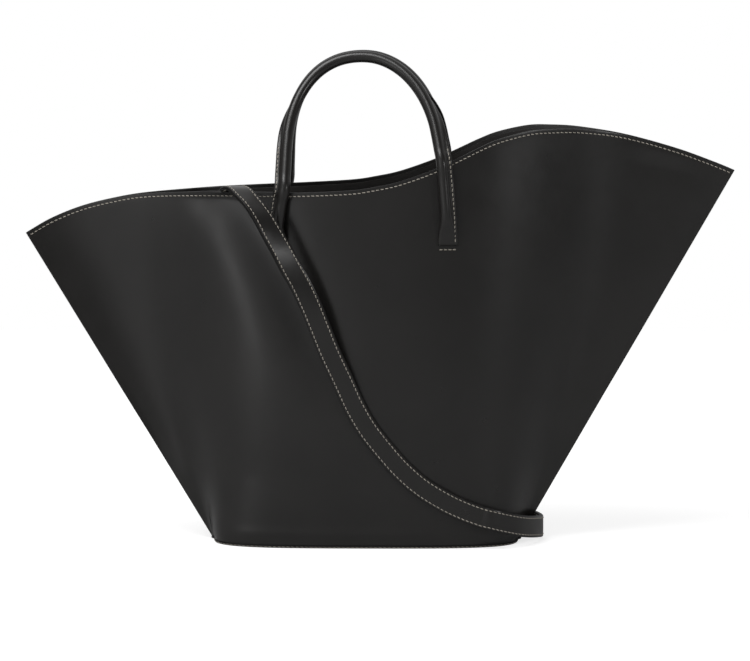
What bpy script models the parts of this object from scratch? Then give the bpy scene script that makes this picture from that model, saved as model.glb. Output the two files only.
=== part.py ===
"""Structured leather tote bag with a fan-shaped body, two tubular handles and a long flat strap.

Metres, +Z up. The origin is the middle of the flat base, on the ground. The front faces -Y and
+X is to the right of someone looking at the front. Each separate piece is one object.
"""
import math

import bmesh
import bpy
from mathutils import Matrix, Vector

for item in list(bpy.data.objects):
    bpy.data.objects.remove(item, do_unlink=True)

# Body: the outline seen from the front
BASE_WIDTH = 0.2865
BASE_DEPTH = 0.118
LEFT_WIDTH = 0.3125
RIGHT_WIDTH = 0.337
PEAK_HEIGHT = 0.381
MOUTH_DEPTH = 0.126
BELLY = 0.004

# Body: how far front and back lie flat together beside each side seam
BASE_FIN = 0.003
LEFT_FIN = 0.106
RIGHT_FIN = 0.102

# Body: leather, lining and base
PANEL_THICKNESS = 0.0022
LINING_THICKNESS = 0.0009
LINING_DROP = 0.004
LINING_SEAM_INSET = 0.0015
BASE_THICKNESS = 0.0025
BOARD_THICKNESS = 0.002
BOARD_INSET = 0.0045
GAP = 0.0003

# Handles
HANDLE_CENTRE_X = -0.0025
HANDLE_HALF_WIDTH = 0.069
HANDLE_TOP_HEIGHT = 0.4455
HANDLE_SPRING_HEIGHT = 0.356
HANDLE_RADIUS = 0.0052
HANDLE_WALL = 0.0015
FLANGE_WIDTH = 0.004
FLANGE_THICKNESS = 0.0024
HINGE_LEFT_X = -0.073
HINGE_RIGHT_X = 0.069
HINGE_LEFT_HEIGHT = 0.329
HINGE_RIGHT_HEIGHT = 0.354
HINGE_STAND_OFF = 0.0004

# Handle legs, which pass through slots in the body
SLOT_LEFT_X = -0.0785
SLOT_RIGHT_X = 0.0745
SLOT_HEIGHT = 0.279
TAB_WIDTH = 0.0175
TAB_THICKNESS = 0.003
TAB_TAIL = 0.014
PATCH_WIDTH = 0.032
PATCH_HEIGHT = 0.046
PATCH_THICKNESS = 0.0014
PATCH_GAP = 0.0005

# Strap
STRAP_WIDTH = 0.020
STRAP_TOP_THICKNESS = 0.002
STRAP_BACKING_THICKNESS = 0.001
CHAPE_THICKNESS = 0.0013

# Strap hardware
RING_WIRE_RADIUS = 0.0015
RING_WIDTH = 0.024
RING_REACH = 0.0155
EYE_WIRE_RADIUS = 0.0016
EYE_DEPTH = 0.008
STUD_RADIUS = 0.0018
STUD_HEAD_RADIUS = 0.0028
STUD_HEAD_THICKNESS = 0.0016
BARREL_RADIUS = 0.0042
BARREL_LENGTH = 0.005
HOOK_WIRE_RADIUS = 0.0019
HOOK_HALF_WIDTH = 0.0068
HOOK_LENGTH = 0.022
GATE_THICKNESS = 0.002
GATE_KNUCKLE_RADIUS = 0.0019
GATE_PIN_RADIUS = 0.0008
EAR_THICKNESS = 0.0012
TAB_STRIP_THICKNESS = 0.0012
RING_TAB_LENGTH = 0.013

# Where the right ring's bar lies inside the bag: from the corner between the two linings, and its height
RIGHT_RING_INSET = 0.0174
RIGHT_RING_HEIGHT = 0.292

# Rim height along the mouth: place as a share of the width on its side, height as a share of the peak
RIM_SHARES = [
    (-1.000, 0.745), (-0.930, 0.779), (-0.840, 0.809), (-0.740, 0.829), (-0.640, 0.841), (-0.480, 0.848),
    (-0.330, 0.851), (-0.180, 0.854), (-0.040, 0.860), (0.030, 0.869), (0.095, 0.882), (0.187, 0.911),
    (0.253, 0.938), (0.307, 0.961), (0.360, 0.980), (0.440, 0.997), (0.500, 1.000), (0.580, 0.998),
    (0.700, 0.983), (0.837, 0.951), (0.946, 0.917), (1.000, 0.898),
]

# Strap from the ring up over the front rim and out in front of it: shares of the mouth's left
# part, its depth and the peak height, then the direction its face looks
STRAP_TOP_SHARES = [
    (-0.692, -0.004, 0.757, (0.00, 1.00, 0.00)), (-0.664, -0.004, 0.777, (0.00, 1.00, 0.00)),
    (-0.640, -0.006, 0.797, (0.00, 1.00, 0.02)), (-0.620, -0.060, 0.822, (-0.05, 0.75, 0.60)),
    (-0.602, -0.175, 0.846, (0.00, 0.35, 0.92)), (-0.577, -0.318, 0.860, (0.00, 0.05, 1.00)),
    (-0.555, -0.397, 0.859, (0.10, -0.22, 0.97)), (-0.525, -0.464, 0.852, (0.19, -0.47, 0.83)),
    (-0.489, -0.524, 0.837, (0.40, -0.56, 0.72)), (-0.456, -0.560, 0.818, (0.50, -0.69, 0.50)),
    (-0.425, -0.579, 0.793, (0.50, -0.79, 0.34)), (-0.392, -0.587, 0.761, (0.43, -0.86, 0.26)),
    (-0.357, -0.591, 0.725, (0.40, -0.90, 0.17)), (-0.322, -0.587, 0.685, (0.33, -0.94, 0.10)),
    (-0.280, -0.579, 0.637, (0.22, -0.97, 0.03)), (-0.236, -0.569, 0.586, (0.08, -0.99, -0.04)),
]

# Strap down the front: place and height as shares of the left width and the peak, stand-off from
# the panel as a share of the strap's width
STRAP_FRONT_SHARES = [
    (-0.198, 0.539, 0.34), (-0.153, 0.475, 0.24), (-0.098, 0.409, 0.16), (-0.048, 0.348, 0.12),
    (0.012, 0.293, 0.10), (0.080, 0.243, 0.09), (0.157, 0.195, 0.09), (0.245, 0.152, 0.09),
    (0.347, 0.117, 0.09), (0.428, 0.095, 0.10), (0.501, 0.079, 0.11),
]

# Strap round the right side and behind: shares of half the base width, half its depth and the
# strap's width, then the direction its face looks
STRAP_BEHIND_SHARES = [
    (0.792, -1.042, 1.388, (0.22, -0.97, 0.00)), (0.872, -0.975, 1.218, (0.38, -0.92, 0.00)),
    (0.993, -0.746, 0.939, (0.72, -0.69, 0.00)), (1.088, -0.373, 0.732, (0.93, -0.37, 0.00)),
    (1.127, 0.080, 0.570, (1.00, 0.05, 0.00)), (1.070, 0.560, 0.548, (0.85, 0.50, 0.00)),
    (0.900, 0.980, 0.546, (0.45, 0.90, 0.00)), (0.620, 1.280, 0.545, (0.20, 1.00, 0.00)),
    (0.330, 1.400, 0.545, (0.08, 1.00, 0.00)), (0.060, 1.460, 0.545, (0.00, 1.00, 0.00)),
    (-0.150, 1.460, 0.555, (-0.05, 0.95, 0.30)), (-0.340, 1.400, 0.440, (-0.05, 0.60, 0.80)),
    (-0.510, 1.340, 0.260, (0.00, 0.10, 1.00)), (-0.620, 1.310, 0.240, (0.00, 0.00, 1.00)),
    (-0.710, 1.290, 0.240, (0.00, 0.00, 1.00)),
]

# Fineness of the meshes
FIN_COLUMNS = 3
LENS_COLUMNS = 20
PANEL_ROWS = 9
ARCH_STEPS = 16
SECTION_POINTS = 12
CORE_SIDES = 8
CHAPE_STATIONS = 4
STRAP_STEPS_PER_SPAN = 2
LEG_STEPS = 8
BEND_STEPS = 2

# Shapes, as powers, shares and angles
BASE_CORNER_POWER = 3.5
LENS_FULLNESS_SHARE = 0.3
PINCH_SOFTNESS_SHARE = 0.12
SLOPE_STEP_SHARE = 0.002
ROUND_LEG_SHARE = 0.62
FLANGE_TURN_SHARE = 0.85
FLANGE_DEGREES = 34
ARCH_LEFT_DEGREES = 4
ARCH_RIGHT_DEGREES = 12
PATCH_LIFT_SHARE = 0.18
SMOOTH_DEGREES = 40

# Strap hardware, as shares of its radii, widths and reaches
EYE_CORNER_SHARE = 0.2
HOOK_ROOT_SHARE = 0.7
HOOK_SHOULDER_SHARE = 0.85
HOOK_SWEEP_DEGREES = 195
EAR_RADIUS_SHARE = 1.1
WEB_THICKNESS_SHARE = 0.4
WEB_DROP_SHARE = 0.5
WEB_HALF_SHARE = 0.45
HEAD_ROOM_SHARE = 1.6
LEVER_HALF_SHARE = 0.55
LEVER_OVERLAP_SHARE = 0.2
LEVER_SHARES = [(0.0, 0.9), (0.5, 1.0), (1.0, 1.15)]
RING_BAR_SHARE = 0.8
RING_LIFT_SHARE = 0.16
RING_TAB_SHARE = 0.66
RIGHT_RING_DIRECTION = (-0.8, 0, -0.6)

PINCH = GAP / 2 + LINING_THICKNESS + GAP + PANEL_THICKNESS
FLOOR = BASE_THICKNESS + GAP
FRONT = -1
BACK = 1


def blend(a, b, share):
    return a + (b - a) * share


def smooth_share(value):
    value = min(1.0, max(0.0, value))
    return value * value * (3 - 2 * value)


def signed_power(value, power):
    return math.copysign(abs(value) ** power, value)


def spline(points, place):
    """Smooth curve through tuples of numbers; place runs from 0 to the number of spans."""
    last = len(points) - 1
    start = min(int(place), last - 1)
    u = place - start
    row = [points[min(max(k, 0), last)] for k in range(start - 1, start + 3)]
    return [
        (2 * b + (c - a) * u + (2 * a - 5 * b + 4 * c - d) * u * u + (3 * b - a - 3 * c + d) * u ** 3) / 2
        for a, b, c, d in zip(*row)
    ]


def rim_height(x):
    """Height of the rim above the ground at a place along the mouth."""
    share = x / LEFT_WIDTH if x < 0 else x / RIGHT_WIDTH
    share = min(1.0, max(-1.0, share))
    for k in range(len(RIM_SHARES) - 1):
        if share <= RIM_SHARES[k + 1][0]:
            break
    low, high = 0.0, 1.0
    for _ in range(30):
        middle = (low + high) / 2
        if spline(RIM_SHARES, k + middle)[0] < share:
            low = middle
        else:
            high = middle
    return spline(RIM_SHARES, k + low)[1] * PEAK_HEIGHT


def base_outline(u):
    """Half outline at the base: u is -1 to 0 on the left fin, 0 to 1 round the body, 1 to 2 on the right."""
    half = BASE_WIDTH / 2 - BASE_FIN
    if u < 0:
        return -half + u * BASE_FIN, PINCH
    if u > 1:
        return half + (u - 1) * BASE_FIN, PINCH
    power = 2 / BASE_CORNER_POWER
    x = -half * signed_power(math.cos(math.pi * u), power)
    return x, PINCH + (BASE_DEPTH / 2 - PINCH) * abs(math.sin(math.pi * u)) ** power


def rim_outline(u):
    """Half outline at the rim, with u as at the base."""
    left = -LEFT_WIDTH + LEFT_FIN
    right = RIGHT_WIDTH - RIGHT_FIN
    if u < 0:
        return left + u * LEFT_FIN, PINCH
    if u > 1:
        return right + (u - 1) * RIGHT_FIN, PINCH
    s = math.sin(math.pi * u)
    s = s * s * (1 + PINCH_SOFTNESS_SHARE) / (s + PINCH_SOFTNESS_SHARE)
    full = (1 + LENS_FULLNESS_SHARE) * s - LENS_FULLNESS_SHARE * s ** 3
    return blend(left, right, u), PINCH + (MOUTH_DEPTH / 2 - PINCH) * full


def right_corner(z):
    """Where front and back begin to lie flat together on the right, at a height."""
    t = (z - FLOOR) / (rim_height(rim_outline(1)[0]) - FLOOR)
    return blend(base_outline(1)[0], rim_outline(1)[0], t)


def panel_point(u, t):
    """Point on the outer face of the front panel; t is 0 at the base and 1 at the rim."""
    x0, y0 = base_outline(u)
    x1, y1 = rim_outline(u)
    swell = BELLY * math.sin(math.pi * t) * math.sin(math.pi * u) if 0 < u < 1 else 0.0
    return Vector((blend(x0, x1, t), -blend(y0, y1, t) - swell, blend(FLOOR, rim_height(x1), t)))


def panel_normal(u, t):
    """Outward direction of the front panel, worked out from points close by."""
    if u <= 0 or u >= 1:
        return Vector((0, -1, 0))
    u0, u1 = max(0.0, u - SLOPE_STEP_SHARE), min(1.0, u + SLOPE_STEP_SHARE)
    t0, t1 = max(0.0, t - SLOPE_STEP_SHARE), min(1.0, t + SLOPE_STEP_SHARE)
    across = panel_point(u1, t) - panel_point(u0, t)
    upward = panel_point(u, t1) - panel_point(u, t0)
    return across.cross(upward).normalized()


def panel_inner(u, t, depth):
    """Point a given depth below the outer face of the front panel."""
    return panel_point(u, t) + panel_normal(u, t) * -depth


def panel_place(x, z):
    """The u and t of the front panel's point at a given place and height."""
    u, t = 0.5, 0.5
    for _ in range(14):
        t = (z - FLOOR) / (rim_height(rim_outline(u)[0]) - FLOOR)
        low, high = -1.0, 2.0
        for _ in range(30):
            u = (low + high) / 2
            if blend(base_outline(u)[0], rim_outline(u)[0], t) < x:
                low = u
            else:
                high = u
    return u, t


def skin(x, z, stand_off):
    """Point at a stand-off from the front panel's outer face, and the face's outward direction."""
    u, t = panel_place(x, z)
    normal = panel_normal(u, t)
    return panel_point(u, t) + normal * stand_off, normal


def surface_axes(normal):
    """Level direction along the panel, towards +X, and the upward direction in its plane."""
    across = Vector((0, 0, 1)).cross(normal).normalized()
    if across.x < 0:
        across = -across
    upward = normal.cross(across).normalized()
    return across, upward if upward.z > 0 else -upward


def flip(point, side):
    """The front's point, or its mirror image at the back."""
    return Vector((point.x, point.y * -side, point.z))


def material(name, colour, roughness, metallic):
    made = bpy.data.materials.new(name)
    made.use_nodes = True
    shader = made.node_tree.nodes["Principled BSDF"]
    shader.inputs["Base Color"].default_value = (*colour, 1)
    shader.inputs["Roughness"].default_value = roughness
    shader.inputs["Metallic"].default_value = metallic
    return made


def add_object(name, bm, colour, roughness=0.45, metallic=0.0, origin=None, parent=None):
    """Makes a named object from a bmesh in world coordinates, with its origin at a given point."""
    bmesh.ops.recalc_face_normals(bm, faces=bm.faces)
    if bm.calc_volume(signed=True) < 0:
        bmesh.ops.reverse_faces(bm, faces=bm.faces)
    mesh = bpy.data.meshes.new(name)
    if origin is not None:
        bmesh.ops.translate(bm, vec=-origin, verts=bm.verts)
    bm.to_mesh(mesh)
    bm.free()
    mesh.shade_smooth()
    mesh.set_sharp_from_angle(angle=math.radians(SMOOTH_DEGREES))
    mesh.materials.append(material(name, colour, roughness, metallic))
    made = bpy.data.objects.new(name, mesh)
    bpy.context.scene.collection.objects.link(made)
    if parent is not None:
        made.parent = parent
    elif origin is not None:
        made.location = origin
    return made


def add_empty(name, place):
    made = bpy.data.objects.new(name, None)
    made.location = place
    bpy.context.scene.collection.objects.link(made)
    return made


def shell_mesh(outer, inner):
    """Closed shell between two grids of points that match row by row and column by column."""
    bm = bmesh.new()
    rows, columns = len(outer), len(outer[0])
    faces = []
    grids = []
    for grid in (outer, inner):
        grids.append([[bm.verts.new(point) for point in row] for row in grid])
    for front, grid in zip((True, False), grids):
        for r in range(rows - 1):
            for c in range(columns - 1):
                a, b, d, e = grid[r][c], grid[r][c + 1], grid[r + 1][c + 1], grid[r + 1][c]
                for corners in ((a, b, d), (a, d, e)):
                    faces.append(corners if front else corners[::-1])
    edge = [(0, c) for c in range(columns)] + [(r, columns - 1) for r in range(1, rows)]
    edge += [(rows - 1, c) for c in range(columns - 2, -1, -1)] + [(r, 0) for r in range(rows - 2, 0, -1)]
    for (r0, c0), (r1, c1) in zip(edge, edge[1:] + edge[:1]):
        faces.append((grids[0][r1][c1], grids[0][r0][c0], grids[1][r0][c0], grids[1][r1][c1]))
    for corners in faces:
        bm.faces.new(corners)
    return bm


def rings_mesh(rings, closed=False, split=False):
    """Closed solid through rings of points, capped at both ends unless the rings close on themselves.

    With split, opposite side faces are cut along the same diagonal, so that a twisted strip keeps
    its thickness and two strips laid face to face bend alike.
    """
    bm = bmesh.new()
    loops = [[bm.verts.new(point) for point in ring] for ring in rings]
    pairs = list(zip(loops, loops[1:]))
    if closed:
        pairs.append((loops[-1], loops[0]))
    else:
        bm.faces.new(loops[0])
        bm.faces.new(loops[-1])
    for one, two in pairs:
        count = len(one)
        for k in range(count):
            a, b, c, d = one[k], one[(k + 1) % count], two[(k + 1) % count], two[k]
            if split and k < count / 2:
                bm.faces.new((a, b, c))
                bm.faces.new((a, c, d))
            elif split:
                bm.faces.new((a, b, d))
                bm.faces.new((b, c, d))
            else:
                bm.faces.new((a, b, c, d))
    return bm


def tube_rings(points, plane_normal, radius, sides, closed):
    """Round sections along a flat path."""
    rings = []
    count = len(points)
    for k, point in enumerate(points):
        if closed:
            along = points[(k + 1) % count] - points[k - 1]
        else:
            along = points[min(k + 1, count - 1)] - points[max(k - 1, 0)]
        across = along.cross(plane_normal).normalized()
        turn = 2 * math.pi / sides
        rings.append([
            point + (across * math.cos(turn * i) + plane_normal * math.sin(turn * i)) * radius
            for i in range(sides)
        ])
    return rings


def cylinder_mesh(radius, low, high, sides, axis="Z", centre=(0, 0)):
    """Solid cylinder between two places along an axis."""
    bm = bmesh.new()
    bmesh.ops.create_cone(
        bm, cap_ends=True, segments=sides, radius1=radius, radius2=radius, depth=high - low
    )
    bmesh.ops.translate(bm, vec=(0, 0, (low + high) / 2), verts=bm.verts)
    if axis == "Y":
        bmesh.ops.rotate(bm, matrix=Matrix.Rotation(math.radians(-90), 3, "X"), verts=bm.verts)
        bmesh.ops.translate(bm, vec=(centre[0], 0, centre[1]), verts=bm.verts)
    return bm


def combine(target, others, operation):
    """Joins solids to a target, or cuts them from it, and removes them."""
    for other in others:
        change = target.modifiers.new(other.name, "BOOLEAN")
        change.operation = operation
        change.solver = "EXACT"
        change.object = other
    bpy.context.view_layer.update()
    seen = target.evaluated_get(bpy.context.evaluated_depsgraph_get())
    mesh = bpy.data.meshes.new_from_object(seen)
    target.modifiers.clear()
    target.data = mesh
    for other in others:
        bpy.data.objects.remove(other, do_unlink=True)


LEATHER = (0.012, 0.011, 0.010)
SUEDE = (0.030, 0.027, 0.025)
BOARD = (0.10, 0.09, 0.08)
ROPE = (0.35, 0.32, 0.27)
NICKEL = (0.62, 0.61, 0.58)


def column_places(inset_share):
    """The u of each column, starting a share of the fin in from each side seam."""
    places = []
    for k in range(FIN_COLUMNS):
        places.append(-1 + inset_share + (1 - inset_share) * k / FIN_COLUMNS)
    places += [k / LENS_COLUMNS for k in range(LENS_COLUMNS + 1)]
    return places + [1 - u for u in places[FIN_COLUMNS - 1::-1]]


def slot_cutter(side, place_x):
    """Box along the slot for a handle leg, through the panel, the lining and the patch."""
    point, normal = skin(place_x, SLOT_HEIGHT, 0)
    half_width = TAB_WIDTH / 2 + GAP
    half_height = TAB_THICKNESS / 2 + GAP
    reach = PANEL_THICKNESS + LINING_THICKNESS + PATCH_THICKNESS + PATCH_GAP * 6
    across, upward = surface_axes(normal)
    bm = bmesh.new()
    bmesh.ops.create_cube(bm, size=2)
    for vertex in bm.verts:
        x, y, z = vertex.co
        spot = point + across * (x * half_width) + normal * (y * reach) + upward * (z * half_height)
        vertex.co = flip(spot, side)
    cutter = add_object("slot_cutter", bm, BOARD)
    cutter.hide_render = True
    cutter.display_type = "WIRE"
    return cutter


def make_panel(name, side, depth, thickness, seam_inset, colour, reaches_rim=True):
    """A panel or a lining: the body's wall between two depths below the outer face."""
    columns = column_places(seam_inset / LEFT_FIN)
    rows = [k / PANEL_ROWS for k in range(PANEL_ROWS)] + [1 - LINING_DROP / PEAK_HEIGHT]
    if reaches_rim:
        rows.append(1.0)
    outer = [[flip(panel_inner(u, t, depth), side) for u in columns] for t in rows]
    inner = [[flip(panel_inner(u, t, depth + thickness), side) for u in columns] for t in rows]
    made = add_object(name, shell_mesh(outer, inner), colour)
    combine(made, [slot_cutter(side, SLOT_LEFT_X), slot_cutter(side, SLOT_RIGHT_X)], "DIFFERENCE")
    return made


def base_ring(inset):
    """Outline of the base, front then back, drawn in by an inset."""
    front = []
    for k in range(LENS_COLUMNS + 1):
        point = panel_inner(k / LENS_COLUMNS, 0, inset)
        if point.y < -PINCH / 2:
            front.append(point)
    return front + [flip(point, BACK) for point in reversed(front)]


def make_base_plate(name, low, thickness, inset, colour, fins=False):
    """Flat plate with the outline of the base."""
    ring = base_ring(inset)
    if fins:
        half = BASE_WIDTH / 2
        ring = [Vector((-half, -PINCH, 0))] + ring[:len(ring) // 2] + [Vector((half, -PINCH, 0))] \
            + [Vector((half, PINCH, 0))] + ring[len(ring) // 2:] + [Vector((-half, PINCH, 0))]
    rings = [[Vector((p.x, p.y, z)) for p in ring] for z in (low, low + thickness)]
    return add_object(name, rings_mesh(rings), colour)


def tube_shape(radius, flange, flange_half):
    """Section of the stitched tube: a circle whose seam allowance stands out along +X."""
    shape = [(radius + flange, -flange_half), (radius + flange, flange_half)]
    first_angle = math.radians(FLANGE_DEGREES)
    turn = (2 * math.pi - 2 * first_angle) / (SECTION_POINTS - 3)
    for k in range(SECTION_POINTS - 2):
        angle = first_angle + turn * k
        shape.append((radius * math.cos(angle), radius * math.sin(angle)))
    return shape


def tab_shape(width, thickness):
    """Section of the flattened leg, with as many points as the tube."""
    shape = [(width / 2, -thickness / 2), (width / 2, thickness / 2)]
    count = SECTION_POINTS // 2 - 1
    for k in range(count):
        shape.append((blend(width / 2, -width / 2, (k + 1) / count), thickness / 2))
    for k in range(count):
        shape.append((blend(-width / 2, width / 2, k / count), -thickness / 2))
    return shape


def hinge_point(is_left):
    """Centre of the arch's round end at the rim, at the front."""
    x = HINGE_LEFT_X if is_left else HINGE_RIGHT_X
    z = HINGE_LEFT_HEIGHT if is_left else HINGE_RIGHT_HEIGHT
    depth = skin(x, z - HANDLE_RADIUS, 0)[0].y
    return Vector((x, depth - HINGE_STAND_OFF - HANDLE_RADIUS, z))


def arch_path():
    """Centre line of the front handle between its two hinges, leaning in over the mouth."""
    left, right = hinge_point(True), hinge_point(False)
    rise = HANDLE_TOP_HEIGHT - HANDLE_SPRING_HEIGHT
    first, last = math.radians(ARCH_LEFT_DEGREES), math.pi - math.radians(ARCH_RIGHT_DEGREES)
    curve = []
    for k in range(ARCH_STEPS + 1):
        angle = blend(first, last, k / ARCH_STEPS)
        x = HANDLE_CENTRE_X - HANDLE_HALF_WIDTH * math.cos(angle)
        curve.append((x, HANDLE_SPRING_HEIGHT + rise * math.sin(angle)))
    flat = []
    straight_steps = 3
    for k in range(straight_steps):
        share = k / straight_steps
        flat.append((blend(left.x, curve[0][0], share), blend(left.z, curve[0][1], share)))
    flat += curve
    flat.append(((curve[-1][0] + right.x) / 2, (curve[-1][1] + right.z) / 2))
    flat.append((right.x, right.z))
    axis = (right - left).normalized()
    top_depth = HANDLE_RADIUS + FLANGE_WIDTH + FLANGE_THICKNESS / 2 + GAP
    crown = Vector((HANDLE_CENTRE_X, -top_depth, HANDLE_TOP_HEIGHT))
    plane_normal = axis.cross(crown - left).normalized()
    points = []
    for x, z in flat:
        y = left.y - (plane_normal.x * (x - left.x) + plane_normal.z * (z - left.z)) / plane_normal.y
        points.append(Vector((x, y, z)))
    return points, plane_normal


def section_ring(centre, along, across, shape, shift=0.0):
    """Points of a section square to a direction, shifted along it."""
    other = along.cross(across).normalized()
    return [centre + across * x + other * y + along * shift for x, y in shape]


def round_shape(radius, template):
    """Circle with a point in the direction of each point of another section."""
    return [(x / math.hypot(x, y) * radius, y / math.hypot(x, y) * radius) for x, y in template]


def flange_turn(height):
    """Angle by which the seam allowance has turned from outward to inward at a given height."""
    rise = (HANDLE_TOP_HEIGHT - HANDLE_SPRING_HEIGHT) * FLANGE_TURN_SHARE
    return math.radians(90) * smooth_share((height - HANDLE_SPRING_HEIGHT) / rise)


def arch_frames():
    """Place, direction, and the two cross directions of each section along the arch."""
    points, plane_normal = arch_path()
    toward_mouth = plane_normal if plane_normal.y > 0 else -plane_normal
    frames = []
    for k, point in enumerate(points):
        along = (points[min(k + 1, len(points) - 1)] - points[max(k - 1, 0)]).normalized()
        outward = along.cross(toward_mouth).normalized()
        if outward.dot(point - Vector((HANDLE_CENTRE_X, point.y, HANDLE_SPRING_HEIGHT))) < 0:
            outward = -outward
        turn = flange_turn(point.z)
        tip = outward * math.cos(turn) + toward_mouth * math.sin(turn)
        frames.append((point, along, tip, outward))
    return frames


def round_end(radius, ball):
    """How far a circle of a given radius lies below the middle of a ball."""
    return math.sqrt(max(0.0, ball * ball - radius * radius))


def make_handle(word, side):
    """Sleeve and core of one handle's arch, on an empty between its two hinges."""
    frames = arch_frames()
    pivot = flip((hinge_point(True) + hinge_point(False)) / 2, side)
    hinge = add_empty(f"handle_{word}_hinge", pivot)
    outer_shape = tube_shape(HANDLE_RADIUS, FLANGE_WIDTH, FLANGE_THICKNESS / 2)
    bore_radius = HANDLE_RADIUS - HANDLE_WALL
    core_radius = bore_radius - GAP
    bore_shape = round_shape(bore_radius, outer_shape)
    edge_radius = (HANDLE_RADIUS + bore_radius) / 2

    outside = [section_ring(p, along, tip, outer_shape) for p, along, tip, outward in frames]
    inside = [section_ring(p, along, outward, bore_shape) for p, along, tip, outward in frames]
    edges = []
    for index, sign in ((0, -1), (-1, 1)):
        p, along, tip, outward = frames[index]
        edge = round_shape(edge_radius, outer_shape)
        edges.append(section_ring(p, along, tip, edge, sign * round_end(edge_radius, HANDLE_RADIUS)))
        low = sign * round_end(bore_radius, HANDLE_RADIUS)
        inside[index] = section_ring(p, along, outward, bore_shape, low)
    rings = outside + [edges[1]] + inside[::-1] + [edges[0]]
    rings = [[flip(point, side) for point in ring] for ring in rings]
    add_object(f"handle_{word}_sleeve", rings_mesh(rings, closed=True), LEATHER, origin=pivot, parent=hinge)

    turn = 2 * math.pi / CORE_SIDES
    circle = [(math.cos(turn * k), math.sin(turn * k)) for k in range(CORE_SIDES)]
    core_shape = round_shape(core_radius, circle)
    tip_radius = core_radius / 2
    tip_shape = round_shape(tip_radius, circle)
    rings = []
    for index, sign in ((0, -1), (-1, 1)):
        p, along, tip, outward = frames[index]
        ends = [
            section_ring(p, along, outward, tip_shape, sign * round_end(tip_radius, HANDLE_RADIUS)),
            section_ring(p, along, outward, core_shape, sign * round_end(core_radius, HANDLE_RADIUS)),
        ]
        if index == 0:
            rings += ends
            rings += [section_ring(p, along, outward, core_shape) for p, along, tip, outward in frames[1:-1]]
        else:
            rings += ends[::-1]
    rings = [[flip(point, side) for point in ring] for ring in rings]
    add_object(f"handle_{word}_core", rings_mesh(rings), ROPE, 0.9, origin=pivot, parent=hinge)


def make_leg(word, side, is_left):
    """Handle leg: round under the hinge, flat at the slot, through it and down behind the lining."""
    hinge = hinge_point(is_left)
    slot_x = SLOT_LEFT_X if is_left else SLOT_RIGHT_X
    outward_sign = -1 if is_left else 1
    tube = tube_shape(HANDLE_RADIUS, FLANGE_WIDTH, FLANGE_THICKNESS / 2)
    tab = tab_shape(TAB_WIDTH, TAB_THICKNESS)
    bend = TAB_THICKNESS / 2 + GAP
    start_height = hinge.z - HANDLE_RADIUS - GAP
    end_height = SLOT_HEIGHT + bend
    stations = []
    for k in range(LEG_STEPS + 1):
        share = k / LEG_STEPS
        z = blend(start_height, end_height, share)
        x = blend(hinge.x, slot_x, share)
        flatness = smooth_share((share - ROUND_LEG_SHARE) / (1 - ROUND_LEG_SHARE))
        half = blend(HANDLE_RADIUS, TAB_THICKNESS / 2, flatness)
        gap = blend(HINGE_STAND_OFF, GAP, flatness)
        point, normal = skin(x, z, gap + half)
        stations.append((point, normal, surface_axes(normal)[0], flatness))
    base, normal = skin(slot_x, SLOT_HEIGHT, 0)
    across, upward = surface_axes(normal)
    inner_face = PANEL_THICKNESS + GAP + LINING_THICKNESS + PATCH_GAP + PATCH_THICKNESS + PATCH_GAP
    stack = inner_face - GAP
    for k in range(1, BEND_STEPS + 1):
        angle = math.radians(90) * k / BEND_STEPS
        place = base + normal * (bend * math.cos(angle)) + upward * (bend - bend * math.sin(angle))
        facing = normal * math.cos(angle) - upward * math.sin(angle)
        stations.append((place, facing, across, 1.0))
    for k in range(BEND_STEPS + 1):
        angle = math.radians(90) * k / BEND_STEPS
        place = base - normal * (stack + bend * math.sin(angle)) - upward * (bend - bend * math.cos(angle))
        facing = normal * math.sin(angle) - upward * math.cos(angle)
        stations.append((place, facing, across, 1.0))
    last = base - normal * (stack + bend) - upward * (bend + TAB_TAIL)
    stations.append((last, normal, across, 1.0))
    rings = []
    for point, facing, level, flatness in stations:
        shape = [(blend(a, c, flatness), blend(b, d, flatness)) for (a, b), (c, d) in zip(tube, tab)]
        ring = [point + level * (outward_sign * x) + facing * y for x, y in shape]
        rings.append([flip(corner, side) for corner in ring])
    name = f"handle_{word}_leg_{'left' if is_left else 'right'}"
    add_object(name, rings_mesh(rings), LEATHER)


def make_patch(word, side, is_left):
    """Leather patch inside the bag that backs the slot, with the leg's tail lying on it."""
    centre_x = SLOT_LEFT_X if is_left else SLOT_RIGHT_X
    depth = PANEL_THICKNESS + GAP + LINING_THICKNESS + PATCH_GAP
    columns, rows = 4, 4
    grids = []
    for level in (depth, depth + PATCH_THICKNESS):
        grid = []
        for r in range(rows + 1):
            z = SLOT_HEIGHT + PATCH_HEIGHT * (r / rows - 0.5 - PATCH_LIFT_SHARE)
            line = []
            for c in range(columns + 1):
                x = centre_x + PATCH_WIDTH * (c / columns - 0.5)
                line.append(flip(skin(x, z, -level)[0], side))
            grid.append(line)
        grids.append(grid)
    name = f"handle_{word}_patch_{'left' if is_left else 'right'}"
    made = add_object(name, shell_mesh(*grids), SUEDE, 0.8)
    combine(made, [slot_cutter(side, centre_x)], "DIFFERENCE")


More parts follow.
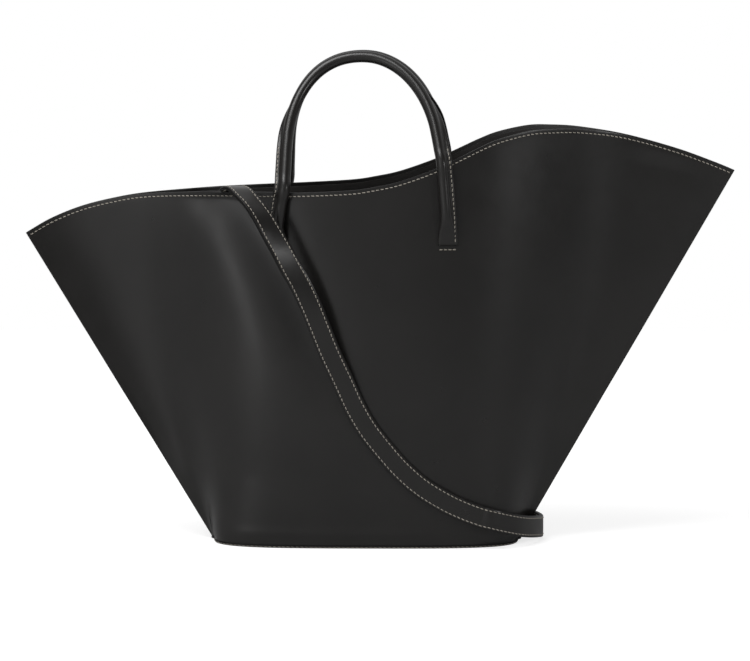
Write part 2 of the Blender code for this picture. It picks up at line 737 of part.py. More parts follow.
def strap_stations():
    """The strap's centre surface from the left ring to its free end: places and the way it faces."""
    route = []
    mouth_left = LEFT_WIDTH - LEFT_FIN
    for x, y, z, facing in STRAP_TOP_SHARES:
        route.append((Vector((x * mouth_left, y * MOUTH_DEPTH, z * PEAK_HEIGHT)), Vector(facing)))
    for x, z, off in STRAP_FRONT_SHARES:
        route.append(skin(x * mouth_left, z * PEAK_HEIGHT, off * STRAP_WIDTH))
    for x, y, z, facing in STRAP_BEHIND_SHARES:
        place = Vector((x * BASE_WIDTH / 2, y * BASE_DEPTH / 2, z * STRAP_WIDTH))
        route.append((place, Vector(facing)))
    rows = [(*place, *facing.normalized()) for place, facing in route]
    stations = []
    total = (len(rows) - 1) * STRAP_STEPS_PER_SPAN
    for k in range(total + 1):
        values = spline(rows, k / STRAP_STEPS_PER_SPAN)
        stations.append((Vector(values[:3]), Vector(values[3:])))
    framed = []
    for k, (place, facing) in enumerate(stations):
        along = (stations[min(k + 1, total)][0] - stations[max(k - 1, 0)][0]).normalized()
        facing = (facing - along * facing.dot(along)).normalized()
        framed.append((place, along, facing, along.cross(facing)))
    return framed


def make_strap(name, near, far, colour):
    """One layer of the strap between two offsets from its centre surface, the nearer offset first."""
    rings = []
    for place, along, facing, across in strap_stations():
        corners = ((-1, near), (1, near), (1, far), (-1, far))
        rings.append([place + across * (a * STRAP_WIDTH / 2) + facing * b for a, b in corners])
    add_object(name, rings_mesh(rings, split=True), colour)


def end_frame(is_first):
    """Frame at a strap end: X across the strap, Y out of its face, Z away from the strap."""
    place, along, facing, across = strap_stations()[0 if is_first else -1]
    away = -along if is_first else along
    reach = EYE_WIRE_RADIUS + GAP * 2
    middle = (STRAP_TOP_THICKNESS - STRAP_BACKING_THICKNESS) / 2
    origin = place + away * reach + facing * middle
    side = facing.cross(away)
    frame = Matrix((side, facing, away)).transposed().to_4x4()
    frame.translation = origin
    return frame


def hairpin_mesh(width, thickness, radius, length):
    """Leather strip folded round a bar along X at the origin, its two ends lying together at -Z."""
    half = thickness / 2
    closed_half = half + GAP / 2
    steps = 8
    middle = [Vector((0, closed_half, -length)), Vector((0, closed_half, -length / 2))]
    for k in range(steps + 1):
        angle = math.pi * k / steps
        middle.append(Vector((0, radius * math.cos(angle), radius * math.sin(angle))))
    middle += [Vector((0, -closed_half, -length / 2)), Vector((0, -closed_half, -length))]
    across = Vector((width / 2, 0, 0))
    rings = []
    for k, point in enumerate(middle):
        along = middle[min(k + 1, len(middle) - 1)] - middle[max(k - 1, 0)]
        if k in (1, len(middle) - 2):
            along = Vector((0, 0, 1 if k == 1 else -1))
        out = Vector((0, along.z, -along.y)).normalized() * half
        low, high = point - out, point + out
        rings.append([low - across, low + across, high + across, high - across])
    return rings_mesh(rings)


def place_copy(made, frame):
    made.matrix_world = frame
    return made


def make_chape(name, is_first):
    """Leather loop round the swivel eye's bar, its two ends lying on both faces of the strap."""
    stations = strap_stations()
    count = CHAPE_STATIONS
    stations = stations[:count] if is_first else stations[:-count - 1:-1]
    middle = (STRAP_TOP_THICKNESS - STRAP_BACKING_THICKNESS) / 2
    radius = (STRAP_TOP_THICKNESS + STRAP_BACKING_THICKNESS) / 2 + GAP * 1.5 + CHAPE_THICKNESS / 2
    frame = end_frame(is_first)
    side, facing, away = (Vector(frame.col[k][:3]) for k in range(3))
    centre = Vector(frame.col[3][:3])
    path = [(place + out * (middle + radius), out) for place, along, out, across in stations[::-1]]
    steps = 6
    for k in range(steps + 1):
        angle = math.pi * k / steps
        out = facing * math.cos(angle) + away * math.sin(angle)
        path.append((centre + out * radius, out))
    path += [(place + out * (middle - radius), -out) for place, along, out, across in stations]
    half = CHAPE_THICKNESS / 2
    rings = []
    for index, (place, out) in enumerate(path):
        if index < count:
            level = stations[count - 1 - index][3]
        elif index >= len(path) - count:
            level = stations[index - len(path) + count][3]
        else:
            level = side
        level = level if level.dot(side) > 0 else -level
        across = level * (STRAP_WIDTH / 2)
        rings.append([place - across - out * half, place + across - out * half,
                      place + across + out * half, place - across + out * half])
    add_object(name, rings_mesh(rings), LEATHER)


def make_eye(name, frame):
    """Swivel eye: a wire frame that the chape goes round, with a headed stud."""
    half = STRAP_WIDTH / 2 + EYE_WIRE_RADIUS + GAP * 4
    corner = EYE_DEPTH * EYE_CORNER_SHARE
    near = [(-half + corner, 0), (half - corner, 0), (half, corner)]
    outline = near + [(x, EYE_DEPTH - z) for x, z in near[::-1]]
    outline += [(-half, EYE_DEPTH - corner), (-half, corner)]
    points = [Vector((x, 0, z)) for x, z in outline]
    rings = tube_rings(points, Vector((0, 1, 0)), EYE_WIRE_RADIUS, 8, True)
    made = add_object(name, rings_mesh(rings, closed=True), NICKEL, 0.25, 1.0)
    barrel_start = EYE_DEPTH + EYE_WIRE_RADIUS + GAP
    head_start = barrel_start + BARREL_LENGTH + GAP
    head_end = head_start + STUD_HEAD_THICKNESS
    stud = cylinder_mesh(STUD_RADIUS, EYE_DEPTH, (head_start + head_end) / 2, 12)
    head = cylinder_mesh(STUD_HEAD_RADIUS, head_start, head_end, 12)
    combine(made, [add_object("stud", stud, NICKEL), add_object("stud_head", head, NICKEL)], "UNION")
    return place_copy(made, frame)


def hook_sizes():
    """Places along the hook: start of the barrel, its end, the pivot of the gate and the far end."""
    start = EYE_DEPTH + EYE_WIRE_RADIUS + GAP
    end = start + BARREL_LENGTH
    pivot = Vector((-BARREL_RADIUS - GATE_KNUCKLE_RADIUS / 2, 0, end - GATE_KNUCKLE_RADIUS / 2))
    far = end + HOOK_LENGTH
    return start, end, pivot, far


def hook_path():
    """Centre line of the hook from the barrel's side round the far end to the nose."""
    start, end, pivot, far = hook_sizes()
    turn_centre = far - HOOK_HALF_WIDTH - HOOK_WIRE_RADIUS
    points = [
        Vector((BARREL_RADIUS * HOOK_ROOT_SHARE, 0, (start + end) / 2)),
        Vector((HOOK_HALF_WIDTH * HOOK_SHOULDER_SHARE, 0, end + HOOK_WIRE_RADIUS)),
        Vector((HOOK_HALF_WIDTH, 0, end + HOOK_WIRE_RADIUS * 3)),
    ]
    steps = 9
    for k in range(steps + 1):
        angle = math.radians(HOOK_SWEEP_DEGREES) * k / steps
        x, z = HOOK_HALF_WIDTH * math.cos(angle), HOOK_HALF_WIDTH * math.sin(angle)
        points.append(Vector((x, 0, turn_centre + z)))
    return points


def make_hook(name, frame):
    """Hook body: barrel round the stud, the hook and the two ears that carry the gate's pin."""
    start, end, pivot, far = hook_sizes()
    made = add_object(name, cylinder_mesh(BARREL_RADIUS, start, end, 14), NICKEL, 0.25, 1.0)
    rings = tube_rings(hook_path(), Vector((0, 1, 0)), HOOK_WIRE_RADIUS, 6, False)
    wire = add_object("hook_wire", rings_mesh(rings), NICKEL)
    ears = []
    inner = GATE_THICKNESS / 2 + GAP
    for sign in (-1, 1):
        low, high = sorted((sign * inner, sign * (inner + EAR_THICKNESS)))
        radius = GATE_KNUCKLE_RADIUS * EAR_RADIUS_SHARE
        ear = cylinder_mesh(radius, low, high, 12, "Y", (pivot.x, pivot.z))
        ears.append(add_object(f"ear_{sign}", ear, NICKEL))
        web = bmesh.new()
        bmesh.ops.create_cube(web, size=2)
        for vertex in web.verts:
            x, y, z = vertex.co
            reach = -BARREL_RADIUS / 2 - pivot.x
            vertex.co = (
                pivot.x + reach * (x + 1) / 2,
                (low + high) / 2 + y * EAR_THICKNESS * WEB_THICKNESS_SHARE,
                pivot.z + GATE_KNUCKLE_RADIUS * (z * WEB_HALF_SHARE - WEB_DROP_SHARE),
            )
        ears.append(add_object(f"web_{sign}", web, NICKEL))
    combine(made, [wire] + ears, "UNION")
    across = (pivot.x, pivot.z)
    head_end = end + STUD_HEAD_THICKNESS * HEAD_ROOM_SHARE
    cuts = [
        ("bore", cylinder_mesh(STUD_RADIUS + GAP, start - GAP, end + GAP, 16)),
        ("notch", cylinder_mesh(GATE_KNUCKLE_RADIUS + GAP, -inner, inner, 16, "Y", across)),
        ("head_room", cylinder_mesh(STUD_HEAD_RADIUS + GAP, end - GAP / 2, head_end, 16)),
        ("pin_hole", cylinder_mesh(GATE_PIN_RADIUS + GAP / 6, -inner * 3, inner * 3, 12, "Y", across)),
    ]
    combine(made, [add_object(word, cut, NICKEL) for word, cut in cuts], "DIFFERENCE")
    return place_copy(made, frame)


def make_gate(name, frame):
    """Sprung gate: a knuckle on the pin and a lever that closes on the hook's nose."""
    start, end, pivot, far = hook_sizes()
    nose = hook_path()[-1]
    lever_end = nose - pivot
    lever_end.z -= HOOK_WIRE_RADIUS + GAP * 2
    lever_end.x += GATE_KNUCKLE_RADIUS * LEVER_OVERLAP_SHARE
    half = GATE_THICKNESS / 2
    made = add_object(name, cylinder_mesh(GATE_KNUCKLE_RADIUS, -half, half, 14, "Y"), NICKEL, 0.25, 1.0)
    along = lever_end.normalized()
    across = Vector((along.z, 0, -along.x))
    lever_half = GATE_KNUCKLE_RADIUS * LEVER_HALF_SHARE
    corners = ((-1, -1), (1, -1), (1, 1), (-1, 1))
    rings = []
    for share, scale in LEVER_SHARES:
        side = across * (lever_half * scale)
        rings.append([lever_end * share + side * a + Vector((0, b * half, 0)) for a, b in corners])
    lever = add_object("lever", rings_mesh(rings), NICKEL)
    combine(made, [lever], "UNION")
    hole = cylinder_mesh(GATE_PIN_RADIUS + GAP / 3, -half * 2, half * 2, 12, "Y")
    combine(made, [add_object("gate_hole", hole, NICKEL)], "DIFFERENCE")
    return place_copy(made, frame @ Matrix.Translation(pivot))


def make_gate_pin(name, frame):
    """Pin through the ears and the gate's knuckle."""
    start, end, pivot, far = hook_sizes()
    half = GATE_THICKNESS / 2 + GAP + EAR_THICKNESS
    made = add_object(name, cylinder_mesh(GATE_PIN_RADIUS, -half, half, 12, "Y"), NICKEL, 0.25, 1.0)
    return place_copy(made, frame @ Matrix.Translation(pivot))


def ring_outline():
    """D-ring centre line: a straight bar at Z = 0 and a round bow out to its reach."""
    half = RING_WIDTH / 2
    points = [Vector((-half * RING_BAR_SHARE, 0, 0)), Vector((half * RING_BAR_SHARE, 0, 0))]
    steps = 10
    for k in range(steps + 1):
        angle = math.pi * k / steps
        z = blend(RING_REACH * RING_LIFT_SHARE, RING_REACH, math.sin(angle))
        points.append(Vector((half * math.cos(angle), 0, z)))
    return points


def make_ring(name, frame):
    rings = tube_rings(ring_outline(), Vector((0, 1, 0)), RING_WIRE_RADIUS, 8, True)
    made = add_object(name, rings_mesh(rings, closed=True), NICKEL, 0.25, 1.0)
    return place_copy(made, frame)


def make_ring_tab(name, frame):
    """Leather tab folded round the ring's bar and caught between the linings."""
    radius = RING_WIRE_RADIUS + GAP + TAB_STRIP_THICKNESS / 2
    bm = hairpin_mesh(RING_WIDTH * RING_TAB_SHARE, TAB_STRIP_THICKNESS, radius, RING_TAB_LENGTH)
    return place_copy(add_object(name, bm, SUEDE, 0.8), frame)


def ring_frame(place, away):
    """Frame of a ring: its bar along X, its bow along Z, flat in the plane of the side seams."""
    facing = Vector((0, 1, 0))
    side = facing.cross(away).normalized()
    frame = Matrix((side, facing, away)).transposed().to_4x4()
    frame.translation = place
    return frame


def build():
    lining_depth = PANEL_THICKNESS + GAP
    for word, side in (("front", FRONT), ("back", BACK)):
        make_panel(f"{word}_panel", side, 0, PANEL_THICKNESS, 0, LEATHER)
        lining_name = f"{word}_lining"
        make_panel(lining_name, side, lining_depth, LINING_THICKNESS, LINING_SEAM_INSET, SUEDE, False)
        make_handle(word, side)
        for is_left in (True, False):
            make_leg(word, side, is_left)
            make_patch(word, side, is_left)
    make_base_plate("base_panel", 0, BASE_THICKNESS, 0, LEATHER, fins=True)
    make_base_plate("base_board", FLOOR, BOARD_THICKNESS, BOARD_INSET, BOARD)
    make_base_plate("base_lining", FLOOR + BOARD_THICKNESS + GAP, LINING_THICKNESS, BOARD_INSET, SUEDE)
    make_strap("strap_top", GAP / 2, GAP / 2 + STRAP_TOP_THICKNESS, LEATHER)
    make_strap("strap_backing", -GAP / 2, -GAP / 2 - STRAP_BACKING_THICKNESS, SUEDE)
    quarter = Matrix.Rotation(math.radians(90), 4, "Z")
    for word, is_first in (("left", True), ("free", False)):
        frame = end_frame(is_first)
        turned = frame @ quarter if is_first else frame
        make_chape(f"strap_chape_{word}", is_first)
        make_eye(f"swivel_eye_{word}", frame)
        make_hook(f"snap_hook_{word}", turned)
        make_gate(f"hook_gate_{word}", turned)
        make_gate_pin(f"gate_pin_{word}", turned)
    reach = hook_sizes()[3] - HOOK_WIRE_RADIUS * 2 - GAP - RING_WIRE_RADIUS + RING_REACH
    flip_over = Matrix.Rotation(math.pi, 4, "X")
    left_ring = end_frame(True) @ Matrix.Translation((0, 0, reach)) @ flip_over
    hang = Vector(RIGHT_RING_DIRECTION).normalized()
    ring_x = right_corner(RIGHT_RING_HEIGHT) - RIGHT_RING_INSET
    right_ring = ring_frame(Vector((ring_x, 0, RIGHT_RING_HEIGHT)), hang)
    for word, frame in (("left", left_ring), ("right", right_ring)):
        make_ring(f"d_ring_{word}", frame)
        make_ring_tab(f"ring_tab_{word}", frame)


build()
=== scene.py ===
"""Dresses the tote bag: leather shells, stitched handles and strap, plated hardware, and a pale studio."""
import math

import bmesh
import bpy
import numpy as np
from mathutils import Matrix, Vector


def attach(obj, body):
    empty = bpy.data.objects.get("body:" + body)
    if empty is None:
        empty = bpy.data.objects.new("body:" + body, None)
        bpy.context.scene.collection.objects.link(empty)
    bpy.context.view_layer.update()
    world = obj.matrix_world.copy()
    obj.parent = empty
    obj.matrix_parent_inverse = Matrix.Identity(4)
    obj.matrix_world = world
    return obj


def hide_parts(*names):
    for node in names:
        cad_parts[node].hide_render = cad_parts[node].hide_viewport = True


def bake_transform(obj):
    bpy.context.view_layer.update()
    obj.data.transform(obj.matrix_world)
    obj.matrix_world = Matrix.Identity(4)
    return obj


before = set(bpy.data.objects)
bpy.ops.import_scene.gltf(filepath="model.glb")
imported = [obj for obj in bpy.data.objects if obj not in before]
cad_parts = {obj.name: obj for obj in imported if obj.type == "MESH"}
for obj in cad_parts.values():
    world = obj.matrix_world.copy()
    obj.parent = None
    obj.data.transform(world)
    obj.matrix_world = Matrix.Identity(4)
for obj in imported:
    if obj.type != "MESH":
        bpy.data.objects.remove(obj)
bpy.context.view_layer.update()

# sizes shared with the solids
BASE_WIDTH, BASE_DEPTH = 0.2865, 0.118
LEFT_REACH, RIGHT_REACH = 0.3125, 0.337
PEAK_HEIGHT, MOUTH_DEPTH, BELLY = 0.381, 0.126, 0.004
BASE_FIN, LEFT_FIN, RIGHT_FIN = 0.003, 0.106, 0.102
PANEL, LINING, LINING_DROP, LINING_INSET = 0.0022, 0.0009, 0.004, 0.0015
BASE_PLATE, BOARD, BOARD_INSET, GAP = 0.0025, 0.002, 0.0045, 0.0003
HANDLE_X, HANDLE_HALF, HANDLE_TOP, HANDLE_SPRING = -0.0025, 0.069, 0.4455, 0.356
ARCH_LEFT, ARCH_RIGHT, ARCH_FULLNESS = 4, 12, 2.22
TUBE_R, FLANGE, FLANGE_T = 0.0052, 0.004, 0.0024
HINGES = ((-0.073, 0.329), (0.069, 0.354))
HINGE_OFF, STITCH_TOP = 0.0004, 0.366
SLOTS, SLOT_Z = (-0.0785, 0.0745), 0.279
TAB_W, TAB_T, TAB_TAIL = 0.0175, 0.003, 0.014
PATCH_W, PATCH_H, PATCH_T, PATCH_GAP, PATCH_LIFT = 0.032, 0.046, 0.0014, 0.0005, 0.18
STRAP_W, STRAP_TOP, STRAP_BACK, CHAPE_T = 0.020, 0.002, 0.001, 0.0013
RING_R, RING_W, RING_REACH = 0.0015, 0.024, 0.0155
EYE_R, EYE_DEPTH, STUD_R, HEAD_R, HEAD_T = 0.0016, 0.008, 0.0018, 0.0028, 0.0016
BARREL_R, BARREL_L, HOOK_R, HOOK_HALF, HOOK_L = 0.0042, 0.005, 0.0019, 0.0068, 0.022
GATE_T, KNUCKLE_R, PIN_R, EAR_T = 0.002, 0.0019, 0.0008, 0.0012
TAB_STRIP, RING_TAB_L = 0.0012, 0.013
RIGHT_RING = (0.19653, 0.292)
RIM_SHARES = [
    (-1.000, 0.745), (-0.930, 0.779), (-0.840, 0.809), (-0.740, 0.829), (-0.640, 0.841), (-0.480, 0.848),
    (-0.330, 0.851), (-0.180, 0.854), (-0.040, 0.860), (0.030, 0.869), (0.095, 0.882), (0.187, 0.911),
    (0.253, 0.938), (0.307, 0.961), (0.360, 0.980), (0.440, 0.997), (0.500, 1.000), (0.580, 0.998),
    (0.700, 0.983), (0.837, 0.951), (0.946, 0.917), (1.000, 0.898),
]
STRAP_INSIDE = [
    (-0.692, -0.004, 0.757, (0.00, 1.00, 0.00)), (-0.664, -0.004, 0.777, (0.00, 1.00, 0.00)),
    (-0.640, -0.006, 0.797, (0.00, 1.00, 0.02)), (-0.620, -0.060, 0.822, (-0.05, 0.75, 0.60)),
    (-0.602, -0.175, 0.846, (0.00, 0.35, 0.92)), (-0.577, -0.318, 0.860, (0.00, 0.05, 1.00)),
    (-0.555, -0.397, 0.859, (0.10, -0.22, 0.97)), (-0.530, -0.464, 0.850, (0.19, -0.47, 0.83)),
    (-0.498, -0.524, 0.833, (0.40, -0.56, 0.72)), (-0.467, -0.560, 0.813, (0.50, -0.69, 0.50)),
    (-0.436, -0.579, 0.788, (0.50, -0.79, 0.34)), (-0.403, -0.587, 0.757, (0.43, -0.86, 0.26)),
    (-0.366, -0.591, 0.722, (0.40, -0.90, 0.17)), (-0.328, -0.587, 0.683, (0.33, -0.94, 0.10)),
    (-0.280, -0.579, 0.637, (0.22, -0.97, 0.03)), (-0.236, -0.569, 0.586, (0.08, -0.99, -0.04)),
]
STRAP_FRONT = [
    (-0.198, 0.539, 0.34), (-0.153, 0.475, 0.24), (-0.098, 0.409, 0.16), (-0.048, 0.348, 0.12),
    (0.012, 0.293, 0.10), (0.080, 0.243, 0.09), (0.157, 0.195, 0.09), (0.245, 0.152, 0.09),
    (0.347, 0.117, 0.16), (0.428, 0.095, 0.24), (0.501, 0.079, 0.38),
]
STRAP_BEHIND = [
    (0.792, -1.042, 1.388, (0.22, -0.97, 0.00)), (0.872, -0.975, 1.218, (0.38, -0.92, 0.00)),
    (0.993, -0.746, 0.939, (0.72, -0.69, 0.00)), (1.088, -0.373, 0.732, (0.93, -0.37, 0.00)),
    (1.127, 0.080, 0.570, (1.00, 0.05, 0.00)), (1.070, 0.560, 0.548, (0.85, 0.50, 0.00)),
    (0.900, 0.980, 0.546, (0.45, 0.90, 0.00)), (0.620, 1.280, 0.545, (0.20, 1.00, 0.00)),
    (0.330, 1.400, 0.545, (0.08, 1.00, 0.00)), (0.060, 1.460, 0.545, (0.00, 1.00, 0.00)),
    (-0.150, 1.460, 0.555, (-0.05, 0.95, 0.30)), (-0.340, 1.400, 0.440, (-0.05, 0.60, 0.80)),
    (-0.510, 1.340, 0.260, (0.00, 0.10, 1.00)), (-0.620, 1.310, 0.240, (0.00, 0.00, 1.00)),
    (-0.710, 1.290, 0.240, (0.00, 0.00, 1.00)),
]
CORNER_POWER, LENS_FULLNESS, PINCH_SOFTNESS, ROUND_LEG = 3.5, 0.3, 0.12, 0.62
PINCH = GAP / 2 + LINING + GAP + PANEL
FLOOR = BASE_PLATE + GAP
FRONT, BACK = -1, 1
STITCH_PITCH = 0.0042
RIGHTWARD, BACKWARD, UP = Vector((1, 0, 0)), Vector((0, 1, 0)), Vector((0, 0, 1))


# shape of the body
def blend(a, b, share):
    return a + (b - a) * share


def smooth_share(value):
    value = np.clip(value, 0.0, 1.0)
    return value * value * (3 - 2 * value)


def spline(points, place):
    last = len(points) - 1
    start = max(0, min(int(place), last - 1))
    u = place - start
    row = [points[min(max(k, 0), last)] for k in range(start - 1, start + 3)]
    return [
        (2 * b + (c - a) * u + (2 * a - 5 * b + 4 * c - d) * u * u + (3 * b - a - 3 * c + d) * u ** 3) / 2
        for a, b, c, d in zip(*row)
    ]


RIM_TABLE = np.array([spline(RIM_SHARES, k / 40) for k in range((len(RIM_SHARES) - 1) * 40 + 1)])
RIM_X = np.where(RIM_TABLE[:, 0] < 0, RIM_TABLE[:, 0] * LEFT_REACH, RIM_TABLE[:, 0] * RIGHT_REACH)
RIM_Z = RIM_TABLE[:, 1] * PEAK_HEIGHT


def rim_height(x):
    return np.interp(x, RIM_X, RIM_Z)


def base_line(u):
    half = BASE_WIDTH / 2 - BASE_FIN
    power = 2 / CORNER_POWER
    inside = np.clip(u, 0, 1)
    c, s = np.cos(np.pi * inside), np.abs(np.sin(np.pi * inside))
    x = -half * np.sign(c) * np.abs(c) ** power + np.where(u < 0, u, np.where(u > 1, u - 1, 0)) * BASE_FIN
    return x, PINCH + (BASE_DEPTH / 2 - PINCH) * np.where(s < 1e-9, 0, s) ** power


def rim_line(u):
    left, right = -LEFT_REACH + LEFT_FIN, RIGHT_REACH - RIGHT_FIN
    inside = np.clip(u, 0, 1)
    s = np.abs(np.sin(np.pi * inside))
    s = s * s * (1 + PINCH_SOFTNESS) / (s + PINCH_SOFTNESS)
    full = (1 + LENS_FULLNESS) * s - LENS_FULLNESS * s ** 3
    x = blend(left, right, inside) + np.where(u < 0, u * LEFT_FIN, np.where(u > 1, (u - 1) * RIGHT_FIN, 0))
    return x, PINCH + (MOUTH_DEPTH / 2 - PINCH) * full


# soft dents and swells of the leather: place, height, half sizes, turn in degrees, outward depth
SWELLS = [
    (0.275, 0.359, 0.026, 0.006, -14, 0.0010),
    (0.268, 0.344, 0.032, 0.007, -12, -0.0010),
    (-0.020, 0.013, 0.100, 0.005, 0, 0.0009),
]
# its slow waves: height, their numbers along x and z, and the shift between front and back
RIPPLE, RIPPLE_WAVES, RIPPLE_SHIFT = 0.00035, ((31, 17), (-9, 27)), 1.7
# how soon the dents fade out towards rim, base and side seams, and what is left of them at the rim
FADE_HEIGHT, FADE_WIDTH, RIM_LEFT_OVER = 0.02, 0.1, 0.4
FOLD_BLUR, FOLD_SPREAD, FOLD_LEAST = 0.022, 0.9, 0.0020
# the wings bend back towards the side seams: how far at the rim, left and right, and beyond the flat part
BEND_LEFT, BEND_RIGHT, BEND_BEYOND, BEND_DROP, BEND_STEEPNESS = 0.013, 0.003, 0.02, 0.12, 1.25
# their last part curls, at the left to the front and at the right to the back
CURL_START, CURL_LEFT, CURL_RIGHT = 0.58, -0.008, 0.006
# the strap presses a groove in the front: half width, depth, its place beside the strap's middle,
# and the height where it has faded out and over which it fades
GROOVE_HALF, GROOVE_DEPTH, GROOVE_BESIDE = 0.028, 0.0090, -0.015
GROOVE_FOOT, GROOVE_FADE = 0.10, 0.14
# the first row of the strap's route inside that lies in front of the rim, and the groove's places per row
GROOVE_FROM, GROOVE_STEPS = 7, 6
SOLVER_ROUNDS = 14


def firm_wall(u, t):
    """The even front wall without dents or rounded folds, as the solids have it."""
    x0, y0 = base_line(u)
    x1, y1 = rim_line(u)
    swell = BELLY * np.sin(np.pi * t) * np.sin(np.pi * np.clip(u, 0, 1))
    return np.stack([blend(x0, x1, t), -(blend(y0, y1, t) + swell), blend(FLOOR, rim_height(x1), t)], -1)


def firm_skin(x, z, stand_off):
    """Point at a stand-off from the even front wall, and that wall's outward direction."""
    u = t = 0.5
    us = np.linspace(-1, 2, 3001)
    for _ in range(SOLVER_ROUNDS):
        t = (z - FLOOR) / (float(rim_height(rim_line(u)[0])) - FLOOR)
        u = float(np.interp(x, blend(base_line(us)[0], rim_line(us)[0], t), us))
    step = 0.002
    here = firm_wall(u, t)
    across = firm_wall(u + step, t) - firm_wall(u - step, t)
    upward = firm_wall(u, t + step) - firm_wall(u, t - step)
    n = Vector(np.cross(across, upward)).normalized()
    return Vector(here) + n * stand_off, n


def groove_line():
    """Where the strap's middle crosses the front, rim to base."""
    mouth_left = LEFT_REACH - LEFT_FIN
    rows = [(x, z) for x, y, z, facing in STRAP_INSIDE[GROOVE_FROM:]] + [(x, z) for x, z, off in STRAP_FRONT]
    rows = [spline(rows, k / GROOVE_STEPS) for k in range((len(rows) - 1) * GROOVE_STEPS + 1)]
    return [(x * mouth_left, z * PEAK_HEIGHT) for x, z in rows]


def groove(x, z):
    """Depth of the groove under the strap, which fades down the front."""
    least = np.full(x.shape, 1.0)
    for cx, cz in groove_line():
        least = np.minimum(least, np.hypot(x - cx - GROOVE_BESIDE, z - cz))
    fade = smooth_share((z - GROOVE_FOOT) / GROOVE_FADE)
    return GROOVE_DEPTH * np.exp(-(least / GROOVE_HALF) ** 2) * fade


def bend(x, t):
    """How far the wings lie back: level at the seam, then sloping to where the mouth opens."""
    out = np.zeros_like(x)
    sides = ((x[:, :1], LEFT_FIN, BEND_LEFT, CURL_LEFT), (x[:, -1:], RIGHT_FIN, BEND_RIGHT, CURL_RIGHT))
    for end, fin, back, curl in sides:
        near = 1 - np.abs(x - end) / (blend(BASE_FIN, fin, t) + BEND_BEYOND)
        out = out + t * back * smooth_share(BEND_STEEPNESS * near)
        out = out + t * curl * np.clip((near - CURL_START) / (1 - CURL_START), 0, 1) ** 2
    return out


def relief(x, z, side):
    """Outward offset of the leather's face from the even shell."""
    out = np.zeros_like(x)
    for cx, cz, wx, wz, turn, depth in SWELLS:
        a = math.radians(turn)
        dx, dz = x - cx, z - cz
        across = (dx * math.cos(a) + dz * math.sin(a)) / wx
        along = (-dx * math.sin(a) + dz * math.cos(a)) / wz
        out = out + depth * np.exp(-(across ** 2 + along ** 2))
    phase = 0.0 if side == FRONT else RIPPLE_SHIFT
    waves = [np.sin(a * x + b * z + (k + 1) * phase) for k, (a, b) in enumerate(RIPPLE_WAVES)]
    return out + RIPPLE * waves[0] * waves[1]


def soften(x, y, spread):
    """Rounds the folds of one level of the wall over a given length, keeping both ends."""
    s = np.concatenate([[0], np.cumsum(np.hypot(np.diff(x), np.diff(y)))])
    step = 0.0005
    even = np.arange(0, s[-1] + step / 2, step) * (s[-1] / (step * round(s[-1] / step)))
    reach = max(2, int(3 * spread / step))
    weights = np.exp(-0.5 * (np.arange(-reach, reach + 1) * step / spread) ** 2)
    weights /= weights.sum()
    made = []
    for values in (x, y):
        v = np.interp(even, s, values)
        pad = np.concatenate([2 * v[0] - v[reach:0:-1], v, 2 * v[-1] - v[-2:-reach - 2:-1]])
        made.append(np.interp(s, even, np.convolve(pad, weights, "valid")))
    return made


WALL_U = np.concatenate([np.linspace(-1, 0, 140)[:-1], np.linspace(0, 1, 1001), np.linspace(1, 2, 140)[1:]])
WALL_T = np.linspace(0, 1, 181)


def directions_out(points):
    """Unit directions square to a grid of points."""
    n = np.cross(np.gradient(points, axis=1), np.gradient(points, axis=0))
    return n / np.linalg.norm(n, axis=-1, keepdims=True)


def make_wall(side):
    """Grid of points on the face of a wall, and its outward directions."""
    t = WALL_T[:, None]
    p = firm_wall(WALL_U, t)
    for row, level in zip(p, WALL_T):
        spread = min(FOLD_BLUR, FOLD_LEAST + FOLD_SPREAD * blend(BASE_FIN, RIGHT_FIN, level))
        row[:, 0], y = soften(row[:, 0], -row[:, 1], spread)
        row[:, 1] = -np.maximum(y, PINCH)
    x = p[..., 0]
    z = p[..., 2] = blend(FLOOR, rim_height(x[-1])[None, :], t)
    fade = smooth_share((1 - t) / FADE_HEIGHT * (1 - RIM_LEFT_OVER) + RIM_LEFT_OVER)
    fade = fade * smooth_share(t / FADE_HEIGHT)
    fade = fade * smooth_share(np.minimum(WALL_U + 1, 2 - WALL_U)[None, :] / FADE_WIDTH)
    lift = relief(x, z, side) * fade
    if side == FRONT:
        lift = lift - groove(x, z) * fade
    p = p + directions_out(p) * lift[..., None]
    back = bend(x, t)
    p[..., 1] += back * -side
    p[..., 2] -= back * BEND_DROP
    n = directions_out(p)
    if side == BACK:
        p[..., 1] *= -1
        n[..., 1] *= -1
    return p, n


WALLS = {FRONT: make_wall(FRONT), BACK: make_wall(BACK)}


def wall_at(u, t, side=FRONT, depth=0.0):
    """Points on a wall, a given depth under its face, and the face's outward directions."""
    u, t = np.broadcast_arrays(np.asarray(u, float), np.asarray(t, float))
    i = np.clip(np.interp(u, WALL_U, np.arange(len(WALL_U))), 0, len(WALL_U) - 1.000001)
    j = np.clip(t * (len(WALL_T) - 1), 0, len(WALL_T) - 1.000001)
    i0, j0 = i.astype(int), j.astype(int)
    fi, fj = (i - i0)[..., None], (j - j0)[..., None]
    p, n = [
        blend(blend(g[j0, i0], g[j0, i0 + 1], fi), blend(g[j0 + 1, i0], g[j0 + 1, i0 + 1], fi), fj)
        for g in WALLS[side]
    ]
    n = n / np.linalg.norm(n, axis=-1, keepdims=True)
    return p - n * depth, n


def place_on_wall(x, z, side):
    t, rim_x = 0.5, WALLS[side][0][-1, :, 0]
    for _ in range(SOLVER_ROUNDS):
        row = wall_at(WALL_U, t, side)[0][:, 0]
        u = float(np.interp(x, row, WALL_U))
        t = (z - FLOOR) / (float(rim_height(np.interp(u, WALL_U, rim_x))) - FLOOR)
    return u, t


